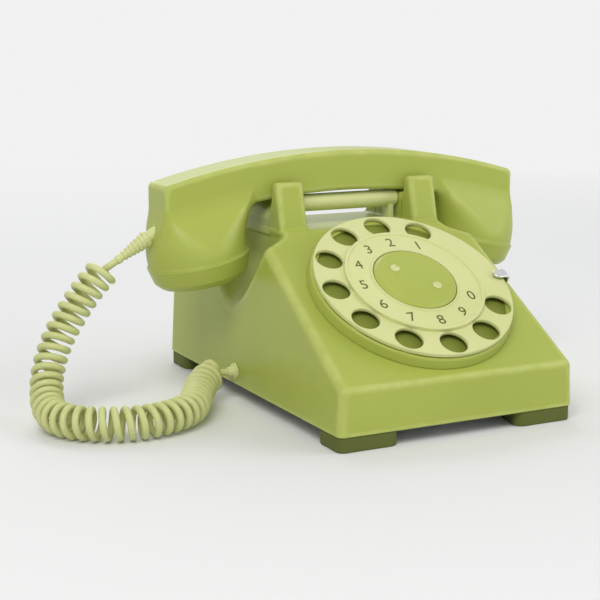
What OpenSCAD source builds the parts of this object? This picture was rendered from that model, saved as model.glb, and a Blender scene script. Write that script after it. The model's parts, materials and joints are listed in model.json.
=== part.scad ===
// Rotary desk telephone with its handset on the cradle and a curly cord.
// The housing, dial train, line switch, ringer and handset are separate pieces.
// Origin on the ground under the middle of the body, front towards -Y, +Z up.

/* [Housing] */
// Width of the housing at its foot
body_w = 142; // [130:1:150]
// Depth of the housing, front to back
body_d = 222; // [212:1:236]
// Height of the upright strip under the dial panel
skirt_h = 24; // [20:1:27]
// Height of the flat crown above the ground
crown_z = 96; // [94:1:99]
// Depth of the sloping dial panel, seen from above
panel_d = 102; // [101:1:105]
// Half depth of the flat crown, which the handset lies over
crown_half_d = 31; // [30:1:34]
// Height of the top of the rear wall above the ground
rear_z = 46; // [40:1:54]
// Inward lean of the side walls in degrees
side_draft = 3; // [1.5:0.5:3.5]
// Thickness of the moulded walls
wall = 2.6; // [2.2:0.1:3]
// Radius of the outer edges
edge_r = 4; // [3.6:0.2:4.6]

/* [Cradle] */
// Gap between the cradle block and the handset's cups
cradle_gap = 9.5; // [9:0.5:10]
// Length of each saddle along the handset
saddle_l = 17; // [15:0.5:18]
// Height of the prongs above the crown
prong_h = 26; // [22:1:29]
// Half cone angle of the scoops under the earpiece and mouthpiece
scoop_angle = 34.8; // [33:0.2:36]
// Height of the scoop's lowest point on the side wall
scoop_z = 51; // [48:1:53]

/* [Feet and base] */
// Height of the rubber feet
foot_h = 8; // [6:0.5:10]
// Length of a foot along the front
foot_l = 36; // [30:1:42]
// Length of a foot along the side
foot_d = 24; // [20:1:28]
// Thickness of the steel base plate
plate_t = 1.6; // [1.2:0.1:2]
// Gap between the base plate and the housing
plate_gap = 0.5; // [0.3:0.1:0.8]
// Radius of the housing and foot screws
screw_r = 1.8; // [1.5:0.1:2]

/* [Dial] */
// Outer radius of the dial surround
dial_r = 57; // [56:0.5:57.5]
// Distance of the dial's centre above the middle of the panel
dial_up = 2; // [1.6:0.1:2.4]
// Height of the surround above the panel
ring_h = 6.4; // [6:0.2:7]
// Width of the surround's top band
ring_band = 4.6; // [4:0.2:5]
// Radius of the finger wheel
wheel_r = 55.5; // [55:0.1:55.7]
// Thickness of the finger wheel
wheel_t = 2.6; // [2.2:0.2:3.2]
// Radius of the circle that the finger holes lie on
hole_pcr = 46.8; // [46.6:0.1:47]
// Radius of a finger hole
hole_r = 7.5; // [7:0.1:7.6]
// Outer radius of the raised number ring
number_r = 39; // [37:0.2:39]
// Outer radius of the centre cap
cap_r = 23; // [20:0.5:25]
// Radius of the main shaft
shaft_r = 3; // [2.6:0.1:3.4]
// Radial clearance of the turning shafts in their bearings
run_fit = 0.05; // [0.03:0.01:0.08]

/* [Dial train] */
// Gear module
gear_m = 0.8; // [0.75:0.05:0.8]
// Teeth of the main gear
main_teeth = 56; // [54:2:58]
// Teeth of the intermediate pinion
pinion_teeth = 14; // [14:2:16]
// Teeth of the intermediate gear
inter_teeth = 48; // [46:2:50]
// Teeth of the governor pinion
gov_teeth = 12; // [12:2:14]
// Width of the gear teeth
gear_t = 2; // [1.6:0.2:2.4]
// Backlash on the pitch circle
backlash = 0.16; // [0.12:0.02:0.2]

/* [Handset] */
// Overall length of the handset
handset_l = 232; // [230:1:236]
// Width of the grip
grip_w = 28; // [26:0.5:29]
// Height of the grip's underside at the middle, above the crown
grip_rise = 19; // [18:0.5:20]
// Thickness of the grip at the middle
grip_t = 23; // [21:0.5:25]
// Drop of the arched grip at the handset's ends
arch_drop = 17; // [15:0.5:18]
// Radius of the cups at the joint with their caps
cup_r = 28; // [27:0.25:28.5]
// Height of the cups' joint above the ground, at its middle
cup_z = 80.5; // [79.5:0.5:82]
// Inward tilt of the earpiece and mouthpiece in degrees
cup_tilt = 11; // [9:0.5:12]
// Depth of the caps
cap_h = 13; // [12:0.5:14]
// Radius of the capsules
capsule_r = 21; // [19:0.5:21.4]

/* [Cord] */
// Diameter of the cord
cord_d = 3.8; // [3.2:0.1:4]
// Outer diameter of the curls
curl_d = 18; // [15:0.5:18.6]
// Distance from one curl to the next
curl_pitch = 6; // [5.8:0.1:7]

/* [Ringer and switch] */
// Outer radius of the gongs
gong_r = 25; // [22:0.5:26]
// Height of a gong
gong_h = 17; // [14:0.5:19]
// Gap between the two gongs
gong_gap = 11; // [10.6:0.2:12]
// Radius of the hook lever's pin
hook_pin_r = 2; // [1.6:0.1:2.2]
// Diameter of the hook bar
bar_d = 10; // [9:0.5:11]

/* [Hidden] */
$fn = 64;
eps = 0.01;
seat_gap = 0.3;        // clearance under a piece that rests loosely

lime = [0.62, 0.67, 0.26];
leaf = [0.42, 0.48, 0.16];
ivory = [0.83, 0.84, 0.60];
steel = [0.72, 0.73, 0.74];
brass = [0.80, 0.66, 0.34];
black = [0.14, 0.14, 0.13];
olive = [0.38, 0.41, 0.18];
amber = [0.60, 0.36, 0.16];

// ---------- shared places ----------
front_y = -body_d / 2;
skirt_z = foot_h + skirt_h;
panel_top_y = front_y + panel_d;
handset_y = panel_top_y + crown_half_d;
crown_back_y = handset_y + crown_half_d;
dial_tilt = atan2(crown_z - skirt_z, panel_d);
dial_pos = [0, front_y + panel_d / 2 + dial_up * cos(dial_tilt),
    (skirt_z + crown_z) / 2 + dial_up * sin(dial_tilt)];
plate_z = foot_h + 1;                    // underside of the base plate
floor_z = plate_z + plate_t;             // its top, which carries the works
cup_x = handset_l / 2 - cup_r * cos(cup_tilt);
grip_under_z = crown_z + grip_rise;
arch_k = arch_drop / pow(handset_l / 2, 2);
cradle_half_w = cup_x - cup_r - cradle_gap;
saddle_in = cradle_half_w - saddle_l;
saddle_out = saddle_in + 10;
prong_top_z = crown_z + prong_h;

function half_w(z) = body_w / 2 - (z - foot_h) * tan(side_draft);
function grip_under(x) = grip_under_z - arch_k * x * x;
function grip_top(x) = grip_under_z + grip_t - arch_k * x * x;

// ---------- small helpers ----------
function unit(v) = v / norm(v);

// Arc of radius r in the corner at b, from the side of a to the side of c
function corner_arc(a, b, c, r, steps) =
    let (u = unit(a - b), v = unit(c - b), half = acos(u * v) / 2,
         centre = b + unit(u + v) * r / sin(half),
         p = b + u * r / tan(half) - centre, q = b + v * r / tan(half) - centre,
         start = atan2(p.y, p.x), turn = atan2(q.y, q.x) - start,
         sweep = turn > 180 ? turn - 360 : turn < -180 ? turn + 360 : turn)
    [for (i = [0:steps]) centre + r * [cos(start + sweep * i / steps), sin(start + sweep * i / steps)]];

// Polygon whose corners [x, y, r] are rounded to their own radius r
function rounded(corners, steps = 4) = let (n = len(corners)) [
    for (i = [0:n - 1])
        let (a = corners[(i + n - 1) % n], b = corners[i], c = corners[(i + 1) % n])
        each (b[2] > 0 ? corner_arc([a.x, a.y], [b.x, b.y], [c.x, c.y], b[2], steps) : [[b.x, b.y]])
];

function rect(x0, y0, x1, y1, r) = rounded([[x0, y0, r], [x1, y0, r], [x1, y1, r], [x0, y1, r]]);

// Corner b moved inwards so that a circle of radius r there touches both sides
function inset(a, b, c, r) =
    let (u = unit(a - b), v = unit(c - b)) b + unit(u + v) * r / sqrt((1 - u * v) / 2);

module on_dial(h = 0) translate(dial_pos) rotate([dial_tilt, 0, 0]) translate([0, 0, h]) children();

module at_cup(s) translate([s * cup_x, handset_y, cup_z]) rotate([0, s * cup_tilt, 0]) children();

module both_sides() for (s = [-1, 1]) scale([s, 1, 1]) children();

// A Y-Z outline carried along X from x0 to x1
module along_x(x0, x1) translate([x0, 0, 0]) rotate([90, 0, 90]) linear_extrude(x1 - x0) children();

// An X-Z outline carried along Y from y0 to y1
module along_y(y0, y1) translate([0, y1, 0]) rotate([90, 0, 0]) linear_extrude(y1 - y0) children();

module tube(r_out, r_in, h) difference() {
    cylinder(r = r_out, h = h);
    translate([0, 0, -1]) cylinder(r = r_in, h = h + 2);
}

// ---------- housing ----------
profile = [
    [front_y, foot_h], [front_y, skirt_z], [panel_top_y, crown_z],
    [crown_back_y, crown_z], [body_d / 2, rear_z], [body_d / 2, foot_h]
];
wall_r = 1;                              // inner edge radius is at least this
inner_r = max(edge_r - wall, wall_r);
boss_r = 4;
boss_x = body_w / 2 - 8.5;
boss_y = body_d / 2 - foot_d - 14;
scoop_base_r = cup_x - half_w(scoop_z);
scoop_slope = tan(scoop_angle);
scoop_apex_z = scoop_z - scoop_base_r / scoop_slope;
slot_x = saddle_in - 4.5;                // middle of the hook bar's arms
slot_w = 4;
bar_y = handset_y - 7;
frame_hole_r = dial_r - 12.5;
dial_screw_r = frame_hole_r + 3.8;
dial_screw_at = [35, 125, 215, 305];
gland_z = 15.6;
gland_y = 12;
inlet_x = -32;
inlet_z = 22;
inlet_r = 4.5;

// Solid of the housing's outline, with its edges rounded to r about fixed centres
module body_form(r, drop) hull() {
    for (sx = [-1, 1], sy = [-1, 1])
        translate([sx * (body_w / 2 - edge_r), sy * (body_d / 2 - edge_r), foot_h - drop])
            cylinder(r = r, h = 1, $fn = 32);
    for (sx = [-1, 1], i = [1:4]) {
        p = inset(profile[i - 1], profile[i], profile[i + 1], edge_r);
        translate([sx * (half_w(p.y) - edge_r), p.x, p.y]) sphere(r = r, $fn = 32);
    }
}

// Cone-shaped hollows that the earpiece and mouthpiece hang in
module scoops(grow) both_sides() intersection() {
    low = scoop_apex_z + 12;
    high = crown_z + 20;
    apex = scoop_apex_z - grow / sin(scoop_angle);
    translate([cup_x, handset_y, low])
        cylinder(r1 = (low - apex) * scoop_slope, r2 = (high - apex) * scoop_slope, h = high - low);
    translate([cradle_half_w - grow, handset_y - 100, 0]) cube([100, 200, 200]);
}

// One saddle: a front and a rear prong with the seat of the grip between them
module saddle() {
    seat_z = grip_under(saddle_out) - seat_gap;
    half_seat = grip_w / 2 + seat_gap;
    foot_z = crown_z;
    near = crown_half_d - 1.5;
    along_x(saddle_in, cradle_half_w) polygon(rounded([
        [handset_y - near, foot_z, 0], [handset_y - near + 7, prong_top_z, 2.5],
        [handset_y - half_seat - 2.6, prong_top_z, 2.5], [handset_y - half_seat, seat_z - 6, 0],
        [handset_y - half_seat, foot_z, 0]]));
    along_x(saddle_in, cradle_half_w) polygon(rounded([
        [handset_y + half_seat, foot_z, 0], [handset_y + half_seat, seat_z - 6, 0],
        [handset_y + half_seat + 2.6, prong_top_z, 2.5], [handset_y + near - 7, prong_top_z, 2.5],
        [handset_y + near, foot_z, 0]]));
    along_y(handset_y - half_seat - eps, handset_y + half_seat + eps) polygon([
        [saddle_in, foot_z], [saddle_in, seat_z], [saddle_out, seat_z],
        [cradle_half_w, seat_z - 8], [cradle_half_w, foot_z]]);
}

// Pegs under the prongs, which go through the crown
peg_r = 2.2;
module peg_place() for (s = [-1, 1], q = [-1, 1])
    translate([s * (saddle_in + saddle_l / 2), handset_y + q * (crown_half_d + grip_w / 2) / 2, crown_z])
        children();

module cradle() color(lime) {
    both_sides() saddle();
    peg_place() translate([0, 0, -wall - 1]) cylinder(r = peg_r, h = wall + 3);
}

// The whole moulding, which the housing and its two shoulders are cut from
module moulding() difference() {
    union() {
        difference() {
            body_form(edge_r, 0);
            difference() {
                body_form(inner_r, 2);
                scoops(wall);
            }
            scoops(0);
        }
        intersection() {
            body_form(edge_r, 0);
            for (sx = [-1, 1], sy = [-1, 1])
                translate([sx * boss_x, sy * boss_y, floor_z]) cylinder(r = boss_r, h = crown_z);
        }
    }
    for (sx = [-1, 1], sy = [-1, 1])
        translate([sx * boss_x, sy * boss_y, floor_z - 1]) cylinder(r = screw_r, h = 13);
    on_dial(-10) cylinder(r = frame_hole_r, h = 20);
    for (a = dial_screw_at) on_dial(-10) rotate(a) translate([dial_screw_r, 0, 0]) cylinder(r = 1.5, h = 20);
    for (s = [-1, 1]) translate([s * slot_x - slot_w / 2, bar_y - 5, crown_z - 5]) cube([slot_w, 10, 10]);
    translate([-body_w / 2 - 5, gland_y, gland_z]) rotate([0, 90, 0]) cylinder(r = 3.5, h = 20);
    translate([inlet_x, body_d / 2 + 5, inlet_z]) rotate([90, 0, 0]) cylinder(r = inlet_r, h = 20);
    peg_place() translate([0, 0, -wall - 1]) cylinder(r = peg_r + 0.1, h = wall + 2);
}

// Boxes round the two hollows, whose walls are nodes of their own and meet the housing face to face
shoulder_in = cradle_half_w - wall - 1;
shoulder_low = scoop_z - wall / sin(scoop_angle) - 1;
shoulder_reach = (crown_z - scoop_apex_z) * scoop_slope;
module shoulder_zone() translate([shoulder_in, handset_y - shoulder_reach, shoulder_low])
    cube([body_w, 2 * shoulder_reach, body_d]);

module housing() color(lime) difference() {
    moulding();
    both_sides() shoulder_zone();
}

module shoulder_right() color(lime) intersection() {
    moulding();
    shoulder_zone();
}

module shoulder_left() color(lime) intersection() {
    moulding();
    mirror([1, 0, 0]) shoulder_zone();
}

// ---------- base ----------
foot_in = 0.6;                           // feet stand in from the housing's edge
module foot_place() for (sx = [-1, 1], sy = [-1, 1])
    translate([sx * (body_w / 2 - foot_in), sy * (body_d / 2 - foot_in), 0]) scale([-sx, -sy, 1]) children();

module foot_screw_place() foot_place() translate([foot_l * 0.62, foot_d * 0.62, 0]) children();

module feet() color(olive) difference() {
    foot_place() {
        linear_extrude(foot_h) polygon(rounded([
            [0, 0, edge_r], [foot_l, 0, 5], [foot_l - 6, foot_d, 6], [0, foot_d, 5]]));
        translate([foot_l * 0.62, foot_d * 0.62, foot_h - eps]) cylinder(r = 5, h = plate_z - foot_h + eps);
    }
    foot_screw_place() translate([0, 0, -1]) cylinder(r = screw_r, h = foot_h + 3);
    foot_screw_place() translate([0, 0, -1]) cylinder(r = 4, h = 4.5);
}

module foot_screws() color(steel) foot_screw_place() {
    translate([0, 0, 1.5]) cylinder(r = 3.6, h = 2);
    translate([0, 0, 3.5]) cylinder(r = screw_r, h = floor_z - 3.5 + 3);
    translate([0, 0, floor_z]) cylinder(r = 3.2, h = 2, $fn = 6);
}

module base_plate() color(steel) difference() {
    side = body_w / 2 - wall - plate_gap;
    back = body_d / 2 - wall - plate_gap;
    translate([0, 0, plate_z]) linear_extrude(plate_t) polygon(rect(-side, -back, side, back, 2));
    for (sx = [-1, 1], sy = [-1, 1])
        translate([sx * boss_x, sy * boss_y, plate_z - 1]) cylinder(r = screw_r, h = plate_t + 2);
    foot_screw_place() translate([0, 0, plate_z - 1]) cylinder(r = screw_r, h = plate_t + 2);
    for (x = [-30:12:30]) translate([x, handset_y + 70, plate_z - 1]) cylinder(r = 2.5, h = plate_t + 2);
}

module housing_screws() color(steel) for (sx = [-1, 1], sy = [-1, 1])
    translate([sx * boss_x, sy * boss_y, 0]) {
        translate([0, 0, plate_z - 2.4]) cylinder(r = 3.4, h = 2.4);
        translate([0, 0, plate_z]) cylinder(r = screw_r, h = 12);
    }

block_h = 24;
block_w = 84;
block_d = 34;
block_y = panel_top_y - block_d / 2;
module network_block() color(leaf) translate([0, 0, floor_z]) linear_extrude(block_h)
    polygon(rect(-block_w / 2, block_y, block_w / 2, block_y + block_d, 4));

module network_terminals() color(brass) for (i = [0:6], row = [0, 1])
    translate([(block_w - 18) * (i / 6 - 0.5), block_y + 5 + (block_d - 10) * row, floor_z + block_h]) {
        cylinder(r = 3.2, h = 1, $fn = 6);
        cylinder(r = 2.1, h = 3);
    }

// ---------- ringer ----------
gong_x = gong_r + gong_gap / 2;
gong_y = body_d / 2 - wall - gong_r - 3;
gong_z = floor_z + 7;
post_r = 4;
gong_wall = 1.4;
coil_r = 11.5;
coil_half = 21.5;
frame_w = 14;
sheet = 2;                               // thickness of the bent steel pieces
coil_y = block_y + block_d + coil_r + 1.5;
coil_z = floor_z + 15;
pivot_y = coil_y + 19;
clapper_z = gong_z + 5;

module ringer_frame() color(steel) difference() {
    union() {
        translate([0, 0, floor_z]) linear_extrude(sheet) polygon(
            rect(-gong_x - 8, gong_y - frame_w / 2, gong_x + 8, gong_y + frame_w / 2, 3));
        translate([0, 0, floor_z]) linear_extrude(sheet)
            polygon(rect(-9, coil_y - frame_w / 2, 9, gong_y, 3));
        for (s = [-1, 1]) translate([s * gong_x, gong_y, floor_z])
            cylinder(r = post_r, h = gong_z + gong_h - gong_wall - seat_gap - floor_z);
        for (s = [-1, 1]) along_x(s * (coil_half + 1) - 1, s * (coil_half + 1) + 1) polygon(rect(
            coil_y - frame_w / 2, floor_z, coil_y + frame_w / 2, coil_z + 9, 1));
        translate([0, 0, floor_z]) linear_extrude(sheet) polygon(rect(
            -coil_half - 2, coil_y - frame_w / 2, coil_half + 2, coil_y + frame_w / 2, 1));
    }
    for (s = [-1, 1]) translate([s * gong_x, gong_y, gong_z + gong_h - 10]) cylinder(r = 1.6, h = 20);
    translate([0, pivot_y, floor_z - 1]) cylinder(r = 1.5, h = 4);
}

module ringer_coil() color(amber) translate([0, coil_y, coil_z]) rotate([0, 90, 0]) {
    translate([0, 0, -coil_half]) cylinder(r = 3, h = 2 * coil_half);
    for (s = [-1, 1]) translate([0, 0, s * (coil_half - 3) - 0.8]) cylinder(r = coil_r, h = 1.6);
    translate([0, 0, -coil_half + 3]) cylinder(r = coil_r - 1.5, h = 2 * coil_half - 6);
}

module gong() color(brass) difference() {
    rotate_extrude() polygon(concat(
        [[0, gong_h], [0, gong_h - gong_wall]],
        [for (i = [0:8]) let (a = 90 - 10 * i)
            [(gong_r - gong_wall) * cos(a), (gong_h - gong_wall) * sin(a)]],
        [[gong_r - gong_wall, 0], [gong_r, 0]],
        [for (i = [8:-1:1]) let (a = 90 - 10 * i) [gong_r * cos(a), gong_h * sin(a)]]));
    translate([0, 0, gong_h - 5]) cylinder(r = 1.6, h = 10);
}

module gong_left() translate([-gong_x, gong_y, gong_z]) gong();
module gong_right() translate([gong_x, gong_y, gong_z]) gong();

module gong_screws() color(steel) for (s = [-1, 1]) translate([s * gong_x, gong_y, gong_z + gong_h]) {
    cylinder(r = 3.4, h = 2.2);
    translate([0, 0, -9]) cylinder(r = 1.6, h = 9);
}

module clapper_pin() color(steel) translate([0, pivot_y, floor_z]) {
    cylinder(r = 1.5, h = clapper_z - floor_z + 2);
    translate([0, 0, clapper_z - floor_z + 2]) cylinder(r = 2.6, h = 1);
    translate([0, 0, 2]) cylinder(r = 2.6, h = clapper_z - floor_z - 4 - seat_gap);
}

module clapper() color(brass) difference() {
    union() {
        translate([0, pivot_y, clapper_z - 2]) cylinder(r = 3.4, h = 3.6);
        translate([-1, pivot_y, clapper_z - 1]) cube([2, gong_y - pivot_y, 2]);
        translate([0, gong_y, clapper_z]) sphere(r = gong_gap / 2 - 1.2, $fn = 24);
    }
    translate([0, pivot_y, clapper_z - 5]) cylinder(r = 1.5 + run_fit, h = 10);
}

// ---------- line switch ----------
bar_z = grip_under(saddle_in - 2) - seat_gap - bar_d / 2;
arm_l = 34;
arm_foot_z = bar_z - arm_l;
lever_t = 2;
lever_l = 30;                            // from the arms to the lever's pin
ear_d = 10;
lever_z = arm_foot_z - seat_gap - lever_t;
hook_pin_y = bar_y + lever_l;
hook_pin_z = lever_z + lever_t / 2;
bracket_x = slot_x - 8.5;

module hook_bar() color(ivory) {
    translate([-saddle_in + seat_gap, bar_y, bar_z]) rotate([0, 90, 0])
        cylinder(d = bar_d, h = 2 * (saddle_in - seat_gap));
    for (s = [-1, 1]) along_x(s * slot_x - 1.5, s * slot_x + 1.5)
        polygon(rounded([[bar_y - 4, arm_foot_z, 1], [bar_y + 4, arm_foot_z, 1],
            [bar_y + 4, bar_z, 0], [bar_y - 4, bar_z, 0]]));
}

module hook_lever() color(steel) difference() {
    union() {
        translate([0, 0, lever_z]) linear_extrude(lever_t)
            polygon(rect(-slot_x - 4, bar_y - 5, slot_x + 4, bar_y + 5, 2));
        for (s = [-1, 1]) translate([s * bracket_x - s * 4 - 1.25, bar_y, lever_z])
            cube([2.5, lever_l - 3, lever_t]);
        for (s = [-1, 1]) translate([s * (bracket_x - 4) - 1.25, hook_pin_y, hook_pin_z])
            rotate([0, 90, 0]) cylinder(r = hook_pin_r + 2.4, h = 2.5);
    }
    translate([-slot_x, hook_pin_y, hook_pin_z]) rotate([0, 90, 0])
        cylinder(r = hook_pin_r + run_fit, h = 2 * slot_x);
}

module hook_pin() color(steel) translate([-bracket_x - 2, hook_pin_y, hook_pin_z]) rotate([0, 90, 0])
    cylinder(r = hook_pin_r, h = 2 * bracket_x + 4);

// Two ears that hang from the crown and carry the pin, with a web for the contacts
bracket_top = crown_z - wall - 0.05;
web_z = hook_pin_z - 34;
module hook_bracket() color(steel) difference() {
    union() {
        for (s = [-1, 1]) along_x(s * bracket_x - 1, s * bracket_x + 1) polygon(rounded([
            [hook_pin_y - ear_d / 2, hook_pin_z - ear_d / 2, 3],
            [hook_pin_y + ear_d / 2, hook_pin_z - ear_d / 2, 0],
            [hook_pin_y + ear_d / 2, bracket_top, 0], [hook_pin_y - ear_d / 2, bracket_top, 0]]));
        translate([-bracket_x - 1, hook_pin_y + ear_d / 2 - sheet, web_z])
            cube([2 * bracket_x + 2, sheet, 20]);
        for (s = [-1, 1]) translate([s * bracket_x - 1, hook_pin_y + ear_d / 2 - sheet, web_z])
            cube([sheet, sheet, bracket_top - web_z]);
        for (s = [-1, 1]) translate([s * (bracket_x + ear_d / 2), hook_pin_y, bracket_top - sheet / 2])
            cube([ear_d, ear_d, sheet], center = true);
    }
    translate([-slot_x, hook_pin_y, hook_pin_z]) rotate([0, 90, 0]) cylinder(r = hook_pin_r, h = 2 * slot_x);
}

contact_w = 16;
contact_h = 11;
contact_d = 15;
module hook_contacts() color(black) translate([0, hook_pin_y + ear_d / 2 - sheet - contact_d, web_z + 8]) {
    translate([-contact_w / 2, 0, 0]) cube([contact_w, contact_d, contact_h]);
    for (i = [0:2]) translate([-6 + 5 * i, -contact_d, 3 + 3 * i]) cube([3, contact_d + 1, 0.6]);
}

// ---------- wire forms ----------
// Frame vectors carried along a list of points without twisting
function tangents(p) = let (n = len(p)) [
    for (i = [0:n - 1]) unit(p[min(i + 1, n - 1)] - p[max(i - 1, 0)])];
function normals(t, first) = [
    for (i = 0, v = unit(first - (first * t[0]) * t[0]); i < len(t);
         i = i + 1, v = i < len(t) ? unit(v - (v * t[i]) * t[i]) : v) v];

// Six-sided tube of radius r along the points p, turned to face the directions up
module wire(p, up, r) {
    sides = 6;
    n = len(p);
    t = tangents(p);
    rings = [for (i = [0:n - 1])
        let (u = unit(up[i] - (up[i] * t[i]) * t[i]), v = cross(t[i], u))
        each [for (j = [0:sides - 1]) p[i] + r * (cos(60 * j) * u + sin(60 * j) * v)]];
    faces = concat(
        [for (i = [0:n - 2], j = [0:sides - 1]) let (k = (j + 1) % sides)
            [i * sides + k, i * sides + j, (i + 1) * sides + j]],
        [for (i = [0:n - 2], j = [0:sides - 1]) let (k = (j + 1) % sides)
            [(i + 1) * sides + j, (i + 1) * sides + k, i * sides + k]],
        [for (j = [1:sides - 2]) [0, j, j + 1]],
        [for (j = [1:sides - 2]) let (b = (n - 1) * sides) [b, b + j + 1, b + j]]);
    polyhedron(points = rings, faces = faces);
}

// Least gap between turns of a wire of diameter d, measured on its points
function wire_gap(p, per, d) = min([
    for (i = [0:len(p) - 1], j = [i + per - 3:min(i + per * 2, len(p) - 1)]) norm(p[i] - p[j])]) - d;

spring_turns = 7;
spring_wire = 0.9;
spring_pitch = 1.9;
spring_r = hook_pin_r + 0.6 + spring_wire;
module hook_spring() color(steel) {
    n = spring_turns * 8;
    pts = [for (i = [0:n]) [(i / n - 0.5) * spring_turns * spring_pitch,
        hook_pin_y + spring_r * cos(45 * i), hook_pin_z + spring_r * sin(45 * i)]];
    up = [for (i = [0:n]) [0, cos(45 * i), sin(45 * i)]];
    wire(pts, up, spring_wire / 2);
}

// ---------- dial ----------
frame_t = 1.6;
frame_z = -wall - frame_t - 0.05;        // the frame lies under the panel
ledge_h = 3.4;
ledge_r = dial_r - ring_band;
wheel_z = ring_h + 0.5;
wheel_top = wheel_z + wheel_t;
number_t = 1.2;
bearing_z = -38;                         // rear bearing plate, below the panel
hole_pitch = 30;
first_hole = 60;
stop_at = -2;

module dial_frame() color(steel) on_dial(frame_z) difference() {
    union() {
        cylinder(r = dial_screw_r + 3.2, h = frame_t);
        translate([0, 0, -4]) cylinder(r = shaft_r + 3, h = 4 + eps);
        for (a = [20, 110, 262]) rotate(a) translate([31, 0, bearing_z - frame_z])
            cylinder(r = 2.5, h = frame_z - bearing_z + eps);
    }
    translate([0, 0, -10]) cylinder(r = shaft_r + run_fit, h = 20);
    for (a = dial_screw_at) rotate(a) translate([dial_screw_r, 0, -5]) cylinder(r = 1.5, h = 10);
    for (g = [inter_pos, gov_pos]) translate([g.x, g.y, -8]) cylinder(r = 1.5 + run_fit, h = 20);
}

leg_x = 20;
leg_y = dial_pos.y - bearing_z * sin(dial_tilt) - 8;
leg_d = 14;
// Height of the bearing plate's middle at a distance y from the telephone's middle
function bracket_mid(y) = dial_pos.z + (bearing_z - 1) * cos(dial_tilt)
    + (y - dial_pos.y + (bearing_z - 1) * sin(dial_tilt)) * tan(dial_tilt);

module dial_bracket() color(steel) difference() {
    union() {
        on_dial(bearing_z - 2) cylinder(r = 35, h = 2);
        on_dial(bearing_z - 2) translate([gov_pos.x, gov_pos.y, 0]) cylinder(r = 6, h = 2);
        for (s = [-1, 1]) {
            along_x(s * leg_x - 1, s * leg_x + 1) polygon([
                [leg_y, floor_z], [leg_y + leg_d, floor_z],
                [leg_y + leg_d, bracket_mid(leg_y + leg_d)], [leg_y, bracket_mid(leg_y)]]);
            translate([s * leg_x - 5, leg_y, floor_z]) cube([10, leg_d, 1.6]);
        }
    }
    for (g = [[0, 0, shaft_r], [inter_pos.x, inter_pos.y, 1.5], [gov_pos.x, gov_pos.y, 1.5]])
        on_dial(bearing_z - 10) translate([g.x, g.y, 0]) cylinder(r = g[2] + run_fit, h = 20);
}

module dial_surround() color(lime) on_dial() difference() {
    rotate_extrude($fn = 128) polygon(rounded([
        [frame_hole_r, 0, 0], [dial_r, 0, 0], [dial_r - 0.6, ring_h, 1.4],
        [ledge_r, ring_h, 0.5], [ledge_r, ledge_h, 0], [frame_hole_r, ledge_h, 0]], 3));
    for (a = dial_screw_at) rotate(a) translate([dial_screw_r, 0, -1]) {
        cylinder(r = 1.5, h = 10);
        translate([0, 0, ledge_h - 2]) cylinder(r = 2.8, h = 3);
    }
}

module dial_screws() color(steel) for (a = dial_screw_at) on_dial() rotate(a)
    translate([dial_screw_r, 0, 0]) {
        translate([0, 0, ledge_h - 2]) cylinder(r = 2.8, h = 1.6);
        translate([0, 0, frame_z - 2]) cylinder(r = 1.5, h = ledge_h - 2 - frame_z + 2);
        translate([0, 0, frame_z - 2]) cylinder(r = 2.7, h = 2, $fn = 6);
    }

module dial_plate() color(leaf) on_dial(ledge_h) difference() {
    cylinder(r = ledge_r - 0.2, h = 1.2, $fn = 128);
    translate([0, 0, -1]) cylinder(r = shaft_r + 1.5, h = 4);
}

// Hooked steel stop that reaches over the wheel's rim
stop_w = 6;
module finger_stop() color(steel) on_dial() rotate(stop_at) {
    near = dial_r + 0.2;
    tip = hole_pcr + 2;
    translate([0, stop_w / 2, 0]) rotate([90, 0, 0]) linear_extrude(stop_w) polygon([
        [near, 0], [near + 5, 0], [near + 5, 1.2], [near + 1.4, 1.2], [near + 1.4, wheel_top + 1.8],
        [near + 0.6, wheel_top + 2.6], [tip, wheel_top + 2.6], [tip, wheel_top + 1.2],
        [near, wheel_top + 1.2]]);
}

module finger_wheel() color(ivory) on_dial(wheel_z) difference() {
    cylinder(r = wheel_r, h = wheel_t, $fn = 128);
    for (i = [0:9]) rotate(first_hole + hole_pitch * i) translate([hole_pcr, 0, -1])
        cylinder(r = hole_r, h = wheel_t + 2);
    translate([0, 0, -1]) cylinder(r = shaft_r, h = wheel_t + 2);
}

module number_ring() color(ivory) on_dial(wheel_top) tube(number_r, cap_r + 0.4, number_t);

module centre_cap() color(lime) on_dial(wheel_top) difference() {
    rotate_extrude() polygon(concat([[0, 0], [cap_r, 0]], [for (i = [0:8])
        let (a = 90 * i / 8) [(cap_r - 3) + 3 * cos(a), 0.6 + 2.2 * sin(a)]], [[0, 3.4]]));
    for (p = cap_screw_at) translate([p.x, p.y, -1]) cylinder(r = 1.2, h = 10);
}

cap_screw_at = [[-9, 8], [9, -8]];
module cap_screws() color(ivory) on_dial(wheel_top) for (p = cap_screw_at) translate([p.x, p.y, 0]) {
    cylinder(r = 1.2, h = 4);
    translate([0, 0, 3.4]) cylinder(r = 2.6, h = 1.4);
}

// ---------- dial train ----------
// Involute tooth flank: angle in degrees between the middle of a tooth and its flank at radius r
function flank(r, pitch_r, base_r, half) =
    let (a = acos(min(1, base_r / max(r, base_r))), b = acos(base_r / pitch_r))
    half + (tan(b) - tan(a)) * 180 / PI - b + a;

function gear_outline(teeth, turn) =
    let (pr = gear_m * teeth / 2, br = pr * cos(20), root = pr - 1.2 * gear_m, tip = pr + 0.85 * gear_m,
         half = 90 / teeth - backlash / 2 / pr * 180 / PI)
    [for (i = [0:teeth - 1]) each
        let (mid = turn + 360 * i / teeth, lo = flank(root, pr, br, half),
             at = flank(pr, pr, br, half), hi = flank(tip, pr, br, half))
        [for (q = [[root, -lo], [pr, -at], [tip, -hi], [tip, hi], [pr, at], [root, lo]])
            q[0] * [cos(mid + q[1]), sin(mid + q[1])]]];

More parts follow.
